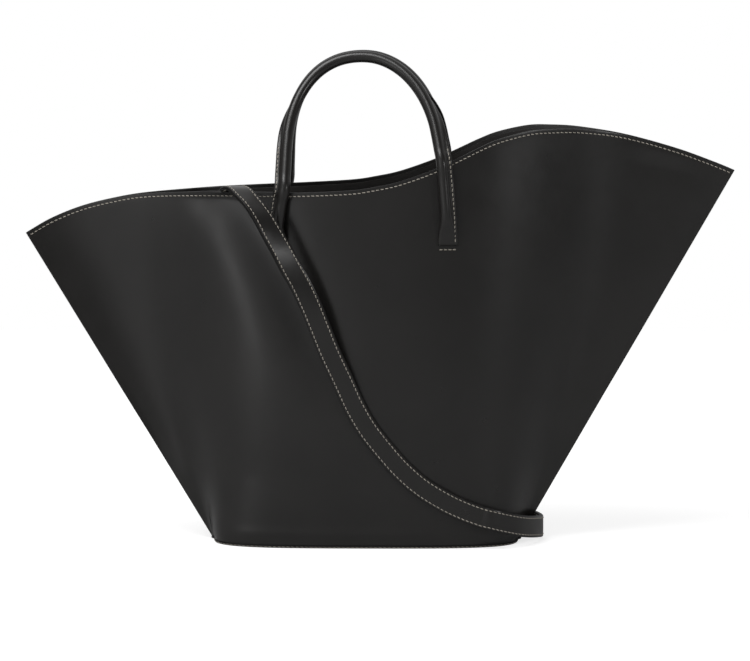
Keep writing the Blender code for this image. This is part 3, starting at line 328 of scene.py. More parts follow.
def skin(x, z, stand_off, side=FRONT):
    """Point at a stand-off from the wall's outer face, and the face's outward direction."""
    p, n = wall_at(*place_on_wall(x, z, side), side, -stand_off)
    return Vector(p), Vector(n)


def turned_to(vector, guide):
    """The vector or its opposite, whichever points more along the guide."""
    return vector if vector.dot(guide) > 0 else -vector


def surface_axes(normal):
    """Directions along a surface to the right and upward."""
    across = turned_to(UP.cross(normal).normalized(), RIGHTWARD)
    return across, turned_to(normal.cross(across).normalized(), UP)


def flip(point, side):
    """The point for the front, or its mirror image for the back."""
    return Vector((point[0], point[1] * -side, point[2]))


def directions(points):
    """Direction of travel at each point of a line."""
    pairs = zip(points[:1] + points[:-1], points[1:] + points[-1:])
    return [(after - before).normalized() for before, after in pairs]


def circle(count):
    """Even directions round a circle, as cosine and sine."""
    return [(math.cos(2 * math.pi * i / count), math.sin(2 * math.pi * i / count)) for i in range(count)]


def even_row(width):
    """Nine even places across a width, from its middle."""
    return [(k / 8 - 0.5) * width for k in range(9)]


def signed_power(value, power):
    return math.copysign(abs(value) ** power, value)


# how much an even spread of columns looks at the base, against the rim
BASE_WEIGHT = 0.7


def even_columns(count_fin, count_lens):
    """Columns spread evenly along the wall, fins included."""
    spans = ((0, 0.48, 800), (0.48, 0.52, 1600), (0.52, 1, 800))
    dense = np.unique(np.concatenate([np.linspace(*span) for span in spans]))
    x0, y0 = base_line(dense)
    x1, y1 = rim_line(dense)
    step = np.hypot(np.diff(x0), np.diff(y0)) * BASE_WEIGHT + np.hypot(np.diff(x1), np.diff(y1))
    length = np.concatenate([[0], np.cumsum(step)])
    lens = np.interp(np.linspace(0, length[-1], count_lens + 1), length, dense)
    fin = np.linspace(0, 1, count_fin + 1)
    return np.concatenate([fin[:-1] - 1, lens, fin[1:] + 1])


# materials
def new_material(name):
    made = bpy.data.materials.new(name)
    made.use_nodes = True
    return made, made.node_tree, made.node_tree.nodes["Principled BSDF"]


def surface(name, tint, colours, wear, rough, heights, rough_span=(0.3, 0.7), settings=None):
    """A material whose colour and roughness follow noise, given as scale, detail, roughness, distortion.

    Its heights are (noise, strength, distance), one on another. A noise of one number is a cell pattern.
    """
    made, tree, shader = new_material(name)
    where = tree.nodes.new("ShaderNodeTexCoord").outputs["Object"]

    def texture(numbers):
        is_cells = len(numbers) == 1
        node = tree.nodes.new("ShaderNodeTexVoronoi" if is_cells else "ShaderNodeTexNoise")
        for label, value in zip(("Scale", "Detail", "Roughness", "Distortion"), numbers):
            node.inputs[label].default_value = value
        tree.links.new(where, node.inputs["Vector"])
        return node.outputs["Distance" if is_cells else "Fac"]

    def spread(numbers, span, ends):
        node = tree.nodes.new("ShaderNodeMapRange")
        for label, value in zip(("From Min", "From Max", "To Min", "To Max"), (*span, *ends)):
            node.inputs[label].default_value = value
        tree.links.new(texture(numbers), node.inputs["Value"])
        return node.outputs["Result"]

    mix = tree.nodes.new("ShaderNodeMix")
    mix.data_type = "RGBA"
    mix.inputs["A"].default_value = (*colours[0], 1)
    mix.inputs["B"].default_value = (*colours[1], 1)
    tree.links.new(spread(tint, (0.3, 0.7), (0, 1)), mix.inputs["Factor"])
    tree.links.new(mix.outputs["Result"], shader.inputs["Base Color"])
    tree.links.new(spread(wear, rough_span, rough), shader.inputs["Roughness"])
    for label, value in (settings or {}).items():
        shader.inputs[label].default_value = value
    last = shader.inputs["Normal"]
    for numbers, strength, distance in reversed(heights):
        node = tree.nodes.new("ShaderNodeBump")
        node.inputs["Strength"].default_value = strength
        node.inputs["Distance"].default_value = distance
        tree.links.new(texture(numbers), node.inputs["Height"])
        tree.links.new(node.outputs["Normal"], last)
        last = node.inputs["Normal"]
    return made


def leather(name, dark, light, rough, grain):
    """Leather with a gentle unevenness, pores and a fine grain."""
    heights = [
        ((60, 3, 0.5), 0.10, 0.0006),
        ((1500,), grain, 0.00012),
        ((5200, 2, 0.6), grain * 0.6, 0.00005),
    ]
    return surface(name, (16, 4, 0.55), (dark, light), (45, 5, 0.6), rough, heights, (0.25, 0.75))


def plain(name, colour, rough):
    """An even material that varies a little from place to place."""
    lighter = tuple(c * 1.5 + 0.001 for c in colour)
    rough_ends = (rough, min(1.0, rough + 0.08))
    return surface(name, GRIT, (colour, lighter), GRIT, rough_ends, [(GRIT, 0.2, 0.0001)])


# noises that more than one part of a material follows
GRIT, EDGE_RIPPLE, TWIST, SCUFF = (1200, 3, 0.55), (500, 3, 0.5), (1400, 3, 0.6), (700, 4, 0.65)
NAP = (900, 5, 0.7, 0.4)
BODY_LEATHER = leather("body_leather", (0.0095, 0.0088, 0.0082), (0.0130, 0.0120, 0.0112), (0.27, 0.34), 0.12)
TRIM_LEATHER = leather("trim_leather", (0.0105, 0.0096, 0.0090), (0.0145, 0.0135, 0.0125), (0.26, 0.35), 0.12)
BACK_LEATHER = leather("backing_leather", (0.016, 0.0145, 0.0135), (0.022, 0.020, 0.0185), (0.6, 0.75), 0.3)
EDGE = surface(
    "painted_edge", EDGE_RIPPLE, ((0.006, 0.006, 0.006), (0.012, 0.011, 0.010)), EDGE_RIPPLE, (0.42, 0.55),
    [(EDGE_RIPPLE, 0.25, 0.0002)], settings={"Specular IOR Level": 0.25},
)
SUEDE = surface(
    "suede_lining", (34, 5, 0.6), ((0.016, 0.015, 0.014), (0.026, 0.024, 0.0225)), NAP, (0.82, 0.96),
    [(NAP, 0.35, 0.0002), ((5000, 2, 0.55), 0.4, 0.00006)],
    settings={"Specular IOR Level": 0.25, "Sheen Weight": 0.25, "Sheen Roughness": 0.5},
)
THREAD = surface(
    "thread", TWIST, ((0.34, 0.31, 0.26), (0.52, 0.48, 0.42)), TWIST, (0.75, 0.75), [(TWIST, 0.5, 0.0001)],
)
# near-black discs at the ends of stitches: painted shade of the stitch holes
HOLE_SHADE = plain("stitch_hole_shade", (0.003, 0.003, 0.003), 0.8)
METAL = surface(
    "plated_metal", (120, 3, 0.55), ((0.60, 0.58, 0.54), (0.70, 0.68, 0.64)), SCUFF, (0.12, 0.26),
    [(SCUFF, 0.06, 0.0001)], (0.35, 0.7), {"Metallic": 1.0},
)
ROPE = plain("cord_core", (0.33, 0.30, 0.25), 0.85)
FIBRE = plain("fibreboard", (0.10, 0.09, 0.08), 0.85)


# meshes

# edges sharper than this many degrees stay sharp
SHELL_ANGLE, STRIP_ANGLE, TUBE_ANGLE, STITCH_ANGLE = 38, 42, 60, 70


def finish_piece(name, mesh, materials, body, replaces=(), smooth_angle=SHELL_ANGLE, blend_with=None):
    for item in materials:
        mesh.materials.append(item)
    mesh.shade_smooth()
    mesh.set_sharp_from_angle(angle=math.radians(smooth_angle))
    made = bpy.data.objects.new(name, mesh)
    bpy.context.scene.collection.objects.link(made)
    if blend_with:
        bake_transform(made)
    else:
        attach(made, body)
    if replaces:
        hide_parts(*replaces)
    return made


def face_outward(bm):
    """Turns the faces of a closed mesh to its outside."""
    bmesh.ops.recalc_face_normals(bm, faces=bm.faces)
    if bm.calc_volume(signed=True) < 0:
        bmesh.ops.reverse_faces(bm, faces=bm.faces)


def mesh_from(name, verts, faces, indices=None):
    mesh = bpy.data.meshes.new(name)
    mesh.from_pydata([tuple(v) for v in verts], [], faces)
    if indices is not None:
        mesh.polygons.foreach_set("material_index", indices)
    bm = bmesh.new()
    bm.from_mesh(mesh)
    face_outward(bm)
    bm.to_mesh(mesh)
    bm.free()
    return mesh


def shell(name, outer, inner, bevel, edge_index=1):
    """Closed shell between two grids, with its four edges rounded."""
    rows, cols = outer.shape[:2]
    bm = bmesh.new()
    grids = [[[bm.verts.new(p) for p in row] for row in grid] for grid in (outer, inner)]
    for front, grid in zip((True, False), grids):
        for r in range(rows - 1):
            for c in range(cols - 1):
                quad = (grid[r][c], grid[r][c + 1], grid[r + 1][c + 1], grid[r + 1][c])
                bm.faces.new(quad if front else quad[::-1])
    loop = [(0, c) for c in range(cols)] + [(r, cols - 1) for r in range(1, rows)]
    loop += [(rows - 1, c) for c in range(cols - 2, -1, -1)] + [(r, 0) for r in range(rows - 2, 0, -1)]
    rim = set()
    for (r0, c0), (r1, c1) in zip(loop, loop[1:] + loop[:1]):
        face = bm.faces.new((grids[0][r1][c1], grids[0][r0][c0], grids[1][r0][c0], grids[1][r1][c1]))
        face.material_index = edge_index
        rim.add(face)
    face_outward(bm)
    edges = {e for f in rim for e in f.edges if sum(g in rim for g in e.link_faces) == 1}
    bmesh.ops.bevel(
        bm, geom=list(edges), offset=bevel, segments=3, affect="EDGES", profile=0.5, clamp_overlap=True,
        material=edge_index,
    )
    mesh = bpy.data.meshes.new(name)
    bm.to_mesh(mesh)
    bm.free()
    return mesh


def loft(rings, closed=False):
    """Vertices and faces through rings of points, with two end caps if it isn't closed."""
    count, total = len(rings[0]), len(rings)
    verts = [p for ring in rings for p in ring]
    faces = []
    for r in range(total if closed else total - 1):
        a, b = r * count, ((r + 1) % total) * count
        for k in range(count):
            j = (k + 1) % count
            faces.append((a + k, a + j, b + j, b + k))
    if not closed:
        faces.append(tuple(range(count))[::-1])
        faces.append(tuple(range((total - 1) * count, total * count)))
    return verts, faces


def merge(parts):
    """Joins several (vertices, faces) lists into one."""
    verts, faces = [], []
    for more, polygons in parts:
        start = len(verts)
        verts += list(more)
        faces += [tuple(start + i for i in face) for face in polygons]
    return verts, faces


# a stitch's thread: place along it, size and lift
STITCH_PROFILE = (
    (-0.5, 0.45, -0.55), (-0.42, 0.80, -0.05), (-0.2, 1.0, 0.32), (0.0, 1.02, 0.42), (0.2, 1.0, 0.32),
    (0.42, 0.80, -0.05), (0.5, 0.45, -0.55),
)
THREAD_SIDES, THREAD_HEIGHT = 8, 0.85
# the dark disc at each end of a stitch, painted shade of its hole: its lift and depth, and as shares of the
# thread its gap, size and length
HOLE_LIFT, HOLE_DEPTH, HOLE_GAP, HOLE_SIZE, HOLE_LENGTH = 0.00003, 0.0001, 0.25, 0.85, 1.2
BODY_THREAD, BASE_THREAD, TRIM_THREAD, CHAPE_THREAD = 0.00042, 0.00022, 0.00040, 0.00038
INNER_THREAD, BAR_THREAD = 0.00034, 0.00055


def stitch_parts(points, normals, radius, fill, slant, ends):
    """Saddle stitches along a path: thread lists, and lists of dark discs that paint the shade in the stitch
    holes.
    """
    p, n = (np.array([tuple(v) for v in values], float) for values in (points, normals))
    s = np.concatenate([[0], np.cumsum(np.linalg.norm(np.diff(p, axis=0), axis=1))])

    def spot(place):
        point, facing = (Vector([np.interp(place, s, v[:, i]) for i in range(3)]) for v in (p, n))
        return point, facing.normalized()

    length = s[-1] - ends[0] - ends[1]
    count = max(1, int(round(length / STITCH_PITCH)))
    step = length / count
    half = step * fill / 2
    turn = math.radians(slant)
    threads, hole_shades = [], []
    for k in range(count):
        middle = ends[0] + (k + 0.5) * step
        along = (spot(middle + half)[0] - spot(middle - half)[0]).normalized()
        side = along.cross(spot(middle)[1]).normalized()
        up = side.cross(along).normalized()
        direction = along * math.cos(turn) + side * math.sin(turn)
        cross = direction.cross(up).normalized()
        rings = []
        for place, size, lift in STITCH_PROFILE:
            q, m = spot(middle + place * 2 * half)
            base = q + side * (math.sin(turn) * place * 2 * half) + m * (lift * radius)
            ring = [(cross * c + up * (d * THREAD_HEIGHT)) * (radius * size) for c, d in circle(THREAD_SIDES)]
            rings.append([tuple(base + v) for v in ring])
        threads.append(loft(rings))
        # at each end a dark disc on the surface: painted shade of the stitch hole
        for end in (-1, 1):
            q, m = spot(middle + end * (half + radius * HOLE_GAP))
            q = q + side * (math.sin(turn) * end * half) + m * HOLE_LIFT
            ring = [cross * c + direction * d * HOLE_LENGTH for c, d in circle(THREAD_SIDES)]
            ring = [q + v * (radius * HOLE_SIZE) for v in ring]
            hole_shades.append(loft([[tuple(v - m * HOLE_DEPTH) for v in ring], [tuple(v) for v in ring]]))
    return threads, hole_shades


def stitches(
    name, runs, body, blend_with=None, radius=BODY_THREAD, fill=0.74, slant=7.0, ends=(0, 0),
):
    """One object for several runs of stitches."""
    threads, hole_shades = [], []
    for points, normals in runs:
        made = stitch_parts(points, normals, radius, fill, slant, ends)
        threads += made[0]
        hole_shades += made[1]
    threads = merge(threads)
    verts, faces = merge([threads, merge(hole_shades)])
    mesh = bpy.data.meshes.new(name)
    mesh.from_pydata(verts, [], faces)
    index = np.zeros(len(faces), np.int32)
    # the faces after the threads get the dark material of painted hole shade
    index[len(threads[1]):] = 1
    mesh.polygons.foreach_set("material_index", index)
    mesh.update()
    return finish_piece(name, mesh, [THREAD, HOLE_SHADE], body, (), STITCH_ANGLE, blend_with)


# body

# the two panels meet along the side seams, beyond the linings' edges
SEAM_SHARE, SEAM_CLEARANCE = 0.012, 0.00005
PANEL_BEVEL, LINING_BEVEL, BASE_BEVEL, BOARD_BEVEL, PATCH_BEVEL = 0.0008, 0.0003, 0.0007, 0.0004, 0.0004
LINING_SIDE = LINING_INSET / LEFT_FIN
COLUMNS = np.sort(np.concatenate([even_columns(26, 150), [-1 + SEAM_SHARE, 2 - SEAM_SHARE]]))
AT_SEAM = (np.minimum(COLUMNS + 1, 2 - COLUMNS) < SEAM_SHARE * 1.01)[None, :]
ROWS = np.concatenate([
    np.linspace(0, 0.06, 8)[:-1], np.linspace(0.06, 0.97, 92), [0.978, 0.985, 0.991, 0.996, 1.0],
])
LINING_COLUMNS = np.clip(even_columns(12, 70), -1 + LINING_SIDE, 2 - LINING_SIDE)
LINING_ROWS = np.linspace(0, 1 - LINING_DROP / PEAK_HEIGHT, 60)
# the rim's stitches: places along the wall, and their height as a share of the wall's
RIM_STITCH_INSET = 0.0033
RIM_STITCH_U = np.linspace(-0.985, 1.985, 420)
RIM_STITCH_T = 1 - RIM_STITCH_INSET / (rim_height(rim_line(RIM_STITCH_U)[0]) - FLOOR)
for word, side in (("front", FRONT), ("back", BACK)):
    outer, outward = wall_at(COLUMNS, ROWS[:, None], side)
    thickness = np.where(AT_SEAM, PINCH / np.abs(outward[..., 1]) - SEAM_CLEARANCE, PANEL)
    name = f"{word}_panel"
    mesh = shell(f"{name}_leather", outer, outer - outward * thickness[..., None], PANEL_BEVEL)
    finish_piece(f"{name}_leather", mesh, [BODY_LEATHER, EDGE], "bag", [name])
    depths = (PANEL + GAP, PANEL + GAP + LINING)
    outer, inner = (wall_at(LINING_COLUMNS, LINING_ROWS[:, None], side, depth)[0] for depth in depths)
    mesh = shell(f"{word}_lining_suede", outer, inner, LINING_BEVEL, 0)
    finish_piece(f"{word}_lining_suede", mesh, [SUEDE], "bag", [f"{word}_lining"])
    run = wall_at(RIM_STITCH_U, RIM_STITCH_T, side)
    stitches(f"{word}_rim_stitches", [run], "bag")


def base_ring(inset, count=120):
    us = even_columns(1, count)
    us = us[(us > 0) & (us < 1)]
    p = wall_at(us, 0.0, FRONT, inset)[0]
    front = [Vector((q[0], q[1], 0)) for q in p if q[1] < -PINCH / 2]
    return front + [Vector((q.x, -q.y, 0)) for q in reversed(front)]


def rounded_edge(bevel, low, high):
    """How far inside the outline, and at which height, the rings of a plate with rounded edges lie."""
    near = [(bevel, 0), (bevel * 0.3, bevel * 0.3), (0, bevel)]
    far = [(inset, high - rise) for inset, rise in near[::-1]]
    return [(inset, low + rise) for inset, rise in near] + far


def plate(name, low, high, inset, bevel, materials, replaces, fins=False):
    """Flat plate with the outline of the base and rounded edges."""
    rings = []
    for extra, z in rounded_edge(bevel, low, high):
        ring = base_ring(inset + extra)
        if fins:
            half, count, y = BASE_WIDTH / 2 - extra, len(ring) // 2, PINCH - extra
            right = [Vector((half, -y, 0)), Vector((half, y, 0))]
            ring = [Vector((-half, -y, 0))] + ring[:count] + right + ring[count:] + [Vector((-half, y, 0))]
        rings.append([(p.x, p.y, z) for p in ring])
    return finish_piece(name, mesh_from(name, *loft(rings)), materials, "bag", replaces)


plate("base_leather", 0.0, BASE_PLATE, 0.0, BASE_BEVEL, [EDGE], ["base_panel"], fins=True)
BOARD_TOP = FLOOR + BOARD
plate("base_board_fibre", FLOOR, BOARD_TOP, BOARD_INSET, BOARD_BEVEL, [FIBRE], ["base_board"])
LINING_FOOT = BOARD_TOP + GAP
plate(
    "base_lining_suede", LINING_FOOT, LINING_FOOT + LINING, BOARD_INSET, LINING_BEVEL, [SUEDE],
    ["base_lining"],
)

# small stitches round the edge of the base, under the dark seam
BASE_STITCH_HEIGHT = 0.0010
ring = [Vector((p.x, p.y, BASE_STITCH_HEIGHT)) for p in base_ring(0.0, 240)]
pairs = zip(ring[:1] + ring[:-1], ring[1:] + ring[:1])
outward = [(after - before).cross(UP).normalized() for before, after in pairs]
stitches(
    "base_stitches", [(ring + ring[:1], outward + outward[:1])], "bag", radius=BASE_THREAD,
)


# handles

# how far the fold's bend reaches either way along the handle
BLEND_REACH = 0.013
ARCH_STEPS, STATION_STEP = 18, 0.0022
# the seam allowance's section, as shares of its width and of half its thickness
FLANGE_PROFILE = ((0.0, 1.22), (0.25, 1.02), (0.6, 1.0), (0.86, 0.94), (0.97, 0.6), (1.0, 0.0))
TUBE_SIDES, TUBE_OPENING = 30, math.radians(26)
TAB_POWER, TAB_SPREAD = 2 / 7, 1.6
# the tab's end caps: how far they stand out, and their size
CAP_REACH, CAP_SCALE = 0.0004, 0.82
# the rope's strands: how far from its middle, their radius and their turn from station to station
ROPE_LAY, ROPE_STRAND, ROPE_TWIST, ROPE_SIDES = 0.0019, 0.00185, 0.55, 8
# the seam's stitches: share of the allowance, distance from the tab's edge, and controls down each leg
SEAM_STITCH_SHARE, TAB_STITCH_INSET, STITCH_LEFT_LEG, STITCH_RIGHT_LEG = 0.52, 0.0022, 7.5, 6.5
# the row of bar stitches under each slot
BAR_W, BAR_DROP, BAR_FILL = 0.0160, 0.0048, 0.82
PATCH_STITCH_X, PATCH_STITCH_Z = 0.42, 0.45


def hinge_point(x, z):
    """Middle of the tube where a leg begins, just in front of the wall."""
    depth = firm_skin(x, z - TUBE_R, 0)[0].y
    return Vector((x, depth - HINGE_OFF - TUBE_R, z))


def arch_controls(left, right):
    """Controls along one front handle's arch: place, direction of the seam allowance, flatness."""
    rise = HANDLE_TOP - HANDLE_SPRING
    curve = []
    for k in range(ARCH_STEPS + 1):
        angle = blend(math.radians(ARCH_LEFT), math.pi - math.radians(ARCH_RIGHT), k / ARCH_STEPS)
        power = 2 / (ARCH_FULLNESS if angle < math.pi / 2 else 2)
        across = signed_power(math.cos(angle), power)
        curve.append((HANDLE_X - HANDLE_HALF * across, HANDLE_SPRING + rise * math.sin(angle) ** power))
    first, last = curve[0], curve[-1]
    flat = [(blend(left.x, first[0], k / 3), blend(left.z, first[1], k / 3)) for k in range(3)] + curve
    flat += [((last[0] + right.x) / 2, (last[1] + right.z) / 2), (right.x, right.z)]
    crown = Vector((HANDLE_X, -(TUBE_R + FLANGE + FLANGE_T / 2 + GAP), HANDLE_TOP))
    toward_mouth = turned_to((right - left).normalized().cross(crown - left).normalized(), BACKWARD)
    points = []
    for x, z in flat:
        slope = toward_mouth.x * (x - left.x) + toward_mouth.z * (z - left.z)
        points.append(Vector((x, left.y - slope / toward_mouth.y, z)))
    arch = []
    for point, along in zip(points, directions(points)):
        middle = Vector((HANDLE_X, point.y, HANDLE_SPRING))
        outward = turned_to(along.cross(toward_mouth).normalized(), point - middle)
        turn = math.radians(90) * float(smooth_share((point.z - HANDLE_SPRING) / rise))
        arch.append((point, outward * math.cos(turn) + toward_mouth * math.sin(turn), 0.0))
    return arch


def leg_controls(hinge, slot_x, sign):
    """Controls of one leg, from its hinge through the slot to the end of the tab inside."""
    bow = TAB_T / 2 + GAP
    start, end = hinge.z - TUBE_R - GAP, SLOT_Z + bow
    rows = []
    for k in range(1, 8):
        share = k / 7
        flatness = float(smooth_share((share - ROUND_LEG) / (1 - ROUND_LEG)))
        stand_off = blend(HINGE_OFF, GAP, flatness) + blend(TUBE_R, TAB_T / 2, flatness)
        point, normal = skin(blend(hinge.x, slot_x, share), blend(start, end, share), stand_off)
        rows.append((point, surface_axes(normal)[0] * sign, flatness))
    base, normal = skin(slot_x, SLOT_Z, 0)
    across, upward = surface_axes(normal)
    stack = PANEL + LINING + PATCH_GAP * 2 + PATCH_T
    quarter = [(math.cos(math.radians(45 * k)), math.sin(math.radians(45 * k))) for k in range(3)]
    offsets = [(bow * c, bow - bow * s) for c, s in quarter[1:]]
    offsets += [(-stack - bow * s, bow * c - bow) for c, s in quarter]
    offsets.append((-stack - bow, -bow - TAB_TAIL))
    return rows + [(base + normal * out + upward * up, across * sign, 1.0) for out, up in offsets]


def tube_section():
    """Tube with its seam allowance, and the flat tab, point for point: lists of (x, y)."""
    tube = [(TUBE_R + FLANGE * out, -FLANGE_T / 2 * half) for out, half in FLANGE_PROFILE]
    tube += [(x, -y) for x, y in tube[-2::-1]]
    for k in range(TUBE_SIDES):
        a = blend(TUBE_OPENING, 2 * math.pi - TUBE_OPENING, k / (TUBE_SIDES - 1))
        tube.append((TUBE_R * math.cos(a), TUBE_R * math.sin(a)))
    turns = [math.atan2(y * TAB_SPREAD, x) for x, y in tube]
    tab = [
        (TAB_W / 2 * signed_power(math.cos(a), TAB_POWER), TAB_T / 2 * signed_power(math.sin(a), TAB_POWER))
        for a in turns
    ]
    return tube, tab


TUBE_SHAPE, TAB_SHAPE = tube_section()
HINGE_PAIR = [hinge_point(x, z) for x, z in HINGES]
FOLD_AXIS = (HINGE_PAIR[1] - HINGE_PAIR[0]).normalized()
FOLD_MIDDLE = (HINGE_PAIR[0] + HINGE_PAIR[1]) / 2


def handle_stations():
    """Fine stations along the whole handle between its two tabs: place, along, tip, flatness, control."""
    before = leg_controls(HINGE_PAIR[0], SLOTS[0], -1)[::-1]
    arch = arch_controls(*HINGE_PAIR)
    table = before + arch + leg_controls(HINGE_PAIR[1], SLOTS[1], 1)
    table = [(*place, *tip, flatness) for place, tip, flatness in table]
    fine = []
    for span, (here, after) in enumerate(zip(table, table[1:])):
        steps = max(1, int(round((Vector(after[:3]) - Vector(here[:3])).length / STATION_STEP)))
        fine += [spline(table, span + k / steps) + [span + k / steps] for k in range(steps)]
    fine.append(list(table[-1]) + [len(table) - 1])
    places = [Vector(v[:3]) for v in fine]
    result = []
    for place, along, v in zip(places, directions(places), fine):
        tip = Vector(v[3:6])
        tip = (tip - along * tip.dot(along)).normalized()
        result.append((place, along, tip, min(1.0, max(0.0, v[6])), v[7]))
    return result, len(before), len(before) + len(arch)


STATIONS, START_ARCH, END_ARCH = handle_stations()


def blend_ends(word, side):
    """A handle's two bodies, and where the bend starts and ends."""
    up = turned_to(FOLD_AXIS.cross(BACKWARD).normalized(), UP) * BLEND_REACH
    return "bag", f"handle_{word}", flip(FOLD_MIDDLE - up, side), flip(FOLD_MIDDLE + up, side)


def tube_ring(station, scale=1.0):
    place, along, tip, flatness, mark = station
    other = along.cross(tip).normalized()
    shape = [(blend(a, c, flatness), blend(b, d, flatness)) for (a, b), (c, d) in zip(TUBE_SHAPE, TAB_SHAPE)]
    return [place + tip * (x * scale) + other * (y * scale) for x, y in shape]


def seam_run(face, is_left, side):
    """Stitches' places and directions on one face of the seam allowance, up one side of a handle."""
    points, normals = [], []
    for place, along, tip, flatness, mark in STATIONS:
        is_on_seam = START_ARCH - STITCH_LEFT_LEG <= mark <= END_ARCH + STITCH_RIGHT_LEG
        if is_on_seam and place.z <= STITCH_TOP and is_left == (place.x < HANDLE_X):
            other = along.cross(tip).normalized()
            across = blend(TUBE_R + FLANGE * SEAM_STITCH_SHARE, TAB_W / 2 - TAB_STITCH_INSET, flatness)
            lift = blend(FLANGE_T / 2, TAB_T / 2, flatness)
            points.append(flip(place + tip * across + other * (face * lift), side))
            normals.append(flip(other * face, side))
    return points, normals


def rope_strand(turn, side):
    rings = []
    core = [station for station in STATIONS if START_ARCH <= station[4] <= END_ARCH - 1][1:-1]
    for k, (place, along, tip, flatness, mark) in enumerate(core):
        other = along.cross(tip).normalized()
        a = turn + k * ROPE_TWIST
        centre = place + (tip * math.cos(a) + other * math.sin(a)) * ROPE_LAY
        ring = [centre + (tip * c + other * s) * ROPE_STRAND for c, s in circle(ROPE_SIDES)]
        rings.append([tuple(flip(p, side)) for p in ring])
    return loft(rings)


def patch(name, slot_x, side):
    """Backing patch behind a slot, and the stitches round it."""
    near = PANEL + GAP + LINING + PATCH_GAP
    grids = []
    for depth in (near, near + PATCH_T):
        rows = []
        for r in range(9):
            z = SLOT_Z + PATCH_H * (r / 8 - 0.5 - PATCH_LIFT)
            places = [skin(slot_x + PATCH_W * (c / 6 - 0.5), z, -depth, side)[0] for c in range(7)]
            rows.append([tuple(place) for place in places])
        grids.append(np.array(rows))
    mesh = shell(name + "_leather", grids[0], grids[1], PATCH_BEVEL)
    finish_piece(name + "_leather", mesh, [BACK_LEATHER, EDGE], "bag", [name])
    corners = ((-1, -1), (1, -1), (1, 1), (-1, 1), (-1, -1))
    corners = [(x * PATCH_STITCH_X, z * PATCH_STITCH_Z) for x, z in corners]
    points, normals = [], []
    for (a, b), (c, d) in zip(corners, corners[1:]):
        for k in range(8):
            x = slot_x + PATCH_W * blend(a, c, k / 8)
            z = SLOT_Z + PATCH_H * (blend(b, d, k / 8) - PATCH_LIFT)
            p, n = skin(x, z, -(near + PATCH_T), side)
            points.append(p)
            normals.append(-n)
    stitches(name + "_stitches", [(points, normals)], "bag", radius=INNER_THREAD)


for word, side in (("front", FRONT), ("back", BACK)):
    name = f"handle_{word}"
    ends = blend_ends(word, side)
    rings = [tube_ring(station) for station in STATIONS]
    caps = [
        [p + STATIONS[end][1] * (way * CAP_REACH) for p in tube_ring(STATIONS[end], CAP_SCALE)]
        for end, way in ((0, -1), (-1, 1))
    ]
    rings = [[tuple(flip(p, side)) for p in ring] for ring in (caps[0], *rings, caps[1])]
    mesh = mesh_from(f"{name}_leather", *loft(rings))
    finish_piece(
        f"{name}_leather", mesh, [TRIM_LEATHER], None,
        [f"{name}_sleeve", f"{name}_leg_left", f"{name}_leg_right"], TUBE_ANGLE, ends,
    )
    strands = [rope_strand(2 * math.pi * strand / 3, side) for strand in range(3)]
    mesh = mesh_from(f"{name}_rope", *merge(strands))
    finish_piece(f"{name}_rope", mesh, [ROPE], None, [f"{name}_core"], TUBE_ANGLE, ends)
    runs = [seam_run(face, is_left, side) for face in (1, -1) for is_left in (True, False)]
    stitches(f"{name}_stitches", runs, None, ends, radius=TRIM_THREAD)
    runs = []
    for slot_x in SLOTS:
        places = [skin(slot_x + x, SLOT_Z - BAR_DROP, 0.0, side) for x in even_row(BAR_W)]
        runs.append(tuple(zip(*places)))
    stitches(
        f"{name}_slot_stitches", runs, "bag", radius=BAR_THREAD, fill=BAR_FILL, slant=0,
    )
    patch(f"{name}_patch_left", SLOTS[0], side)
    patch(f"{name}_patch_right", SLOTS[1], side)


# strap
def strap_route():
    route = []
    mouth_left = LEFT_REACH - LEFT_FIN
    for x, y, z, facing in STRAP_INSIDE:
        route.append((Vector((x * mouth_left, y * MOUTH_DEPTH, z * PEAK_HEIGHT)), Vector(facing)))
    for x, z, off in STRAP_FRONT:
        route.append(firm_skin(x * mouth_left, z * PEAK_HEIGHT, off * STRAP_W))
    for x, y, z, facing in STRAP_BEHIND:
        route.append((Vector((x * BASE_WIDTH / 2, y * BASE_DEPTH / 2, z * STRAP_W)), Vector(facing)))
    return [(*place, *facing.normalized()) for place, facing in route]


STRAP_ROWS = strap_route()


def strap_stations(steps):
    """Stations along the strap: place, facing, across."""
    rows = [spline(STRAP_ROWS, k / steps) for k in range((len(STRAP_ROWS) - 1) * steps + 1)]
    places = [Vector(row[:3]) for row in rows]
    framed = []
    for place, along, row in zip(places, directions(places), rows):
        facing = Vector(row[3:])
        facing = (facing - along * facing.dot(along)).normalized()
        framed.append((place, facing, along.cross(facing)))
    return framed


STRAP = strap_stations(8)
COARSE = strap_stations(2)
STRIP_POINTS, STRAP_BEVEL, STRAP_CROWN, THIN_STRIP_BEVEL = 9, 0.0007, 0.00012, 0.0004
# the strap's stitches: distance from its edge, and clear length at both ends
STRAP_STITCH_INSET, STRAP_STITCH_END, TOP_STITCH_LIFT = 0.0024, 0.002, 0.00008
# the chape: how many stations of the strap it covers and has stitches on, and its row of bar stitches
CHAPE_SPAN, CHAPE_STITCHED, CHAPE_BAR_W, CHAPE_ROUND = 13, 12, 0.0155, 16


def strip_section(width, low, high, bevel, crown=0.0):
    """Rounded section of a leather strip: lists of (across, out)."""
    half, height, inset = width / 2, high - low, bevel * 0.3
    side = [(half - inset, low + height * 0.12), (half, low + height * 0.4)]
    side += [(half, low + height * 0.6), (half - inset, high - height * 0.12)]
    below, above = [], []
    for k in range(STRIP_POINTS):
        x = blend(-half + bevel, half - bevel, k / (STRIP_POINTS - 1))
        swell = crown * (1 - (x / half) ** 2)
        below.append((x, low - swell))
        above.append((x, high + swell))
    return below + side + above[::-1] + [(-x, y) for x, y in side[::-1]]


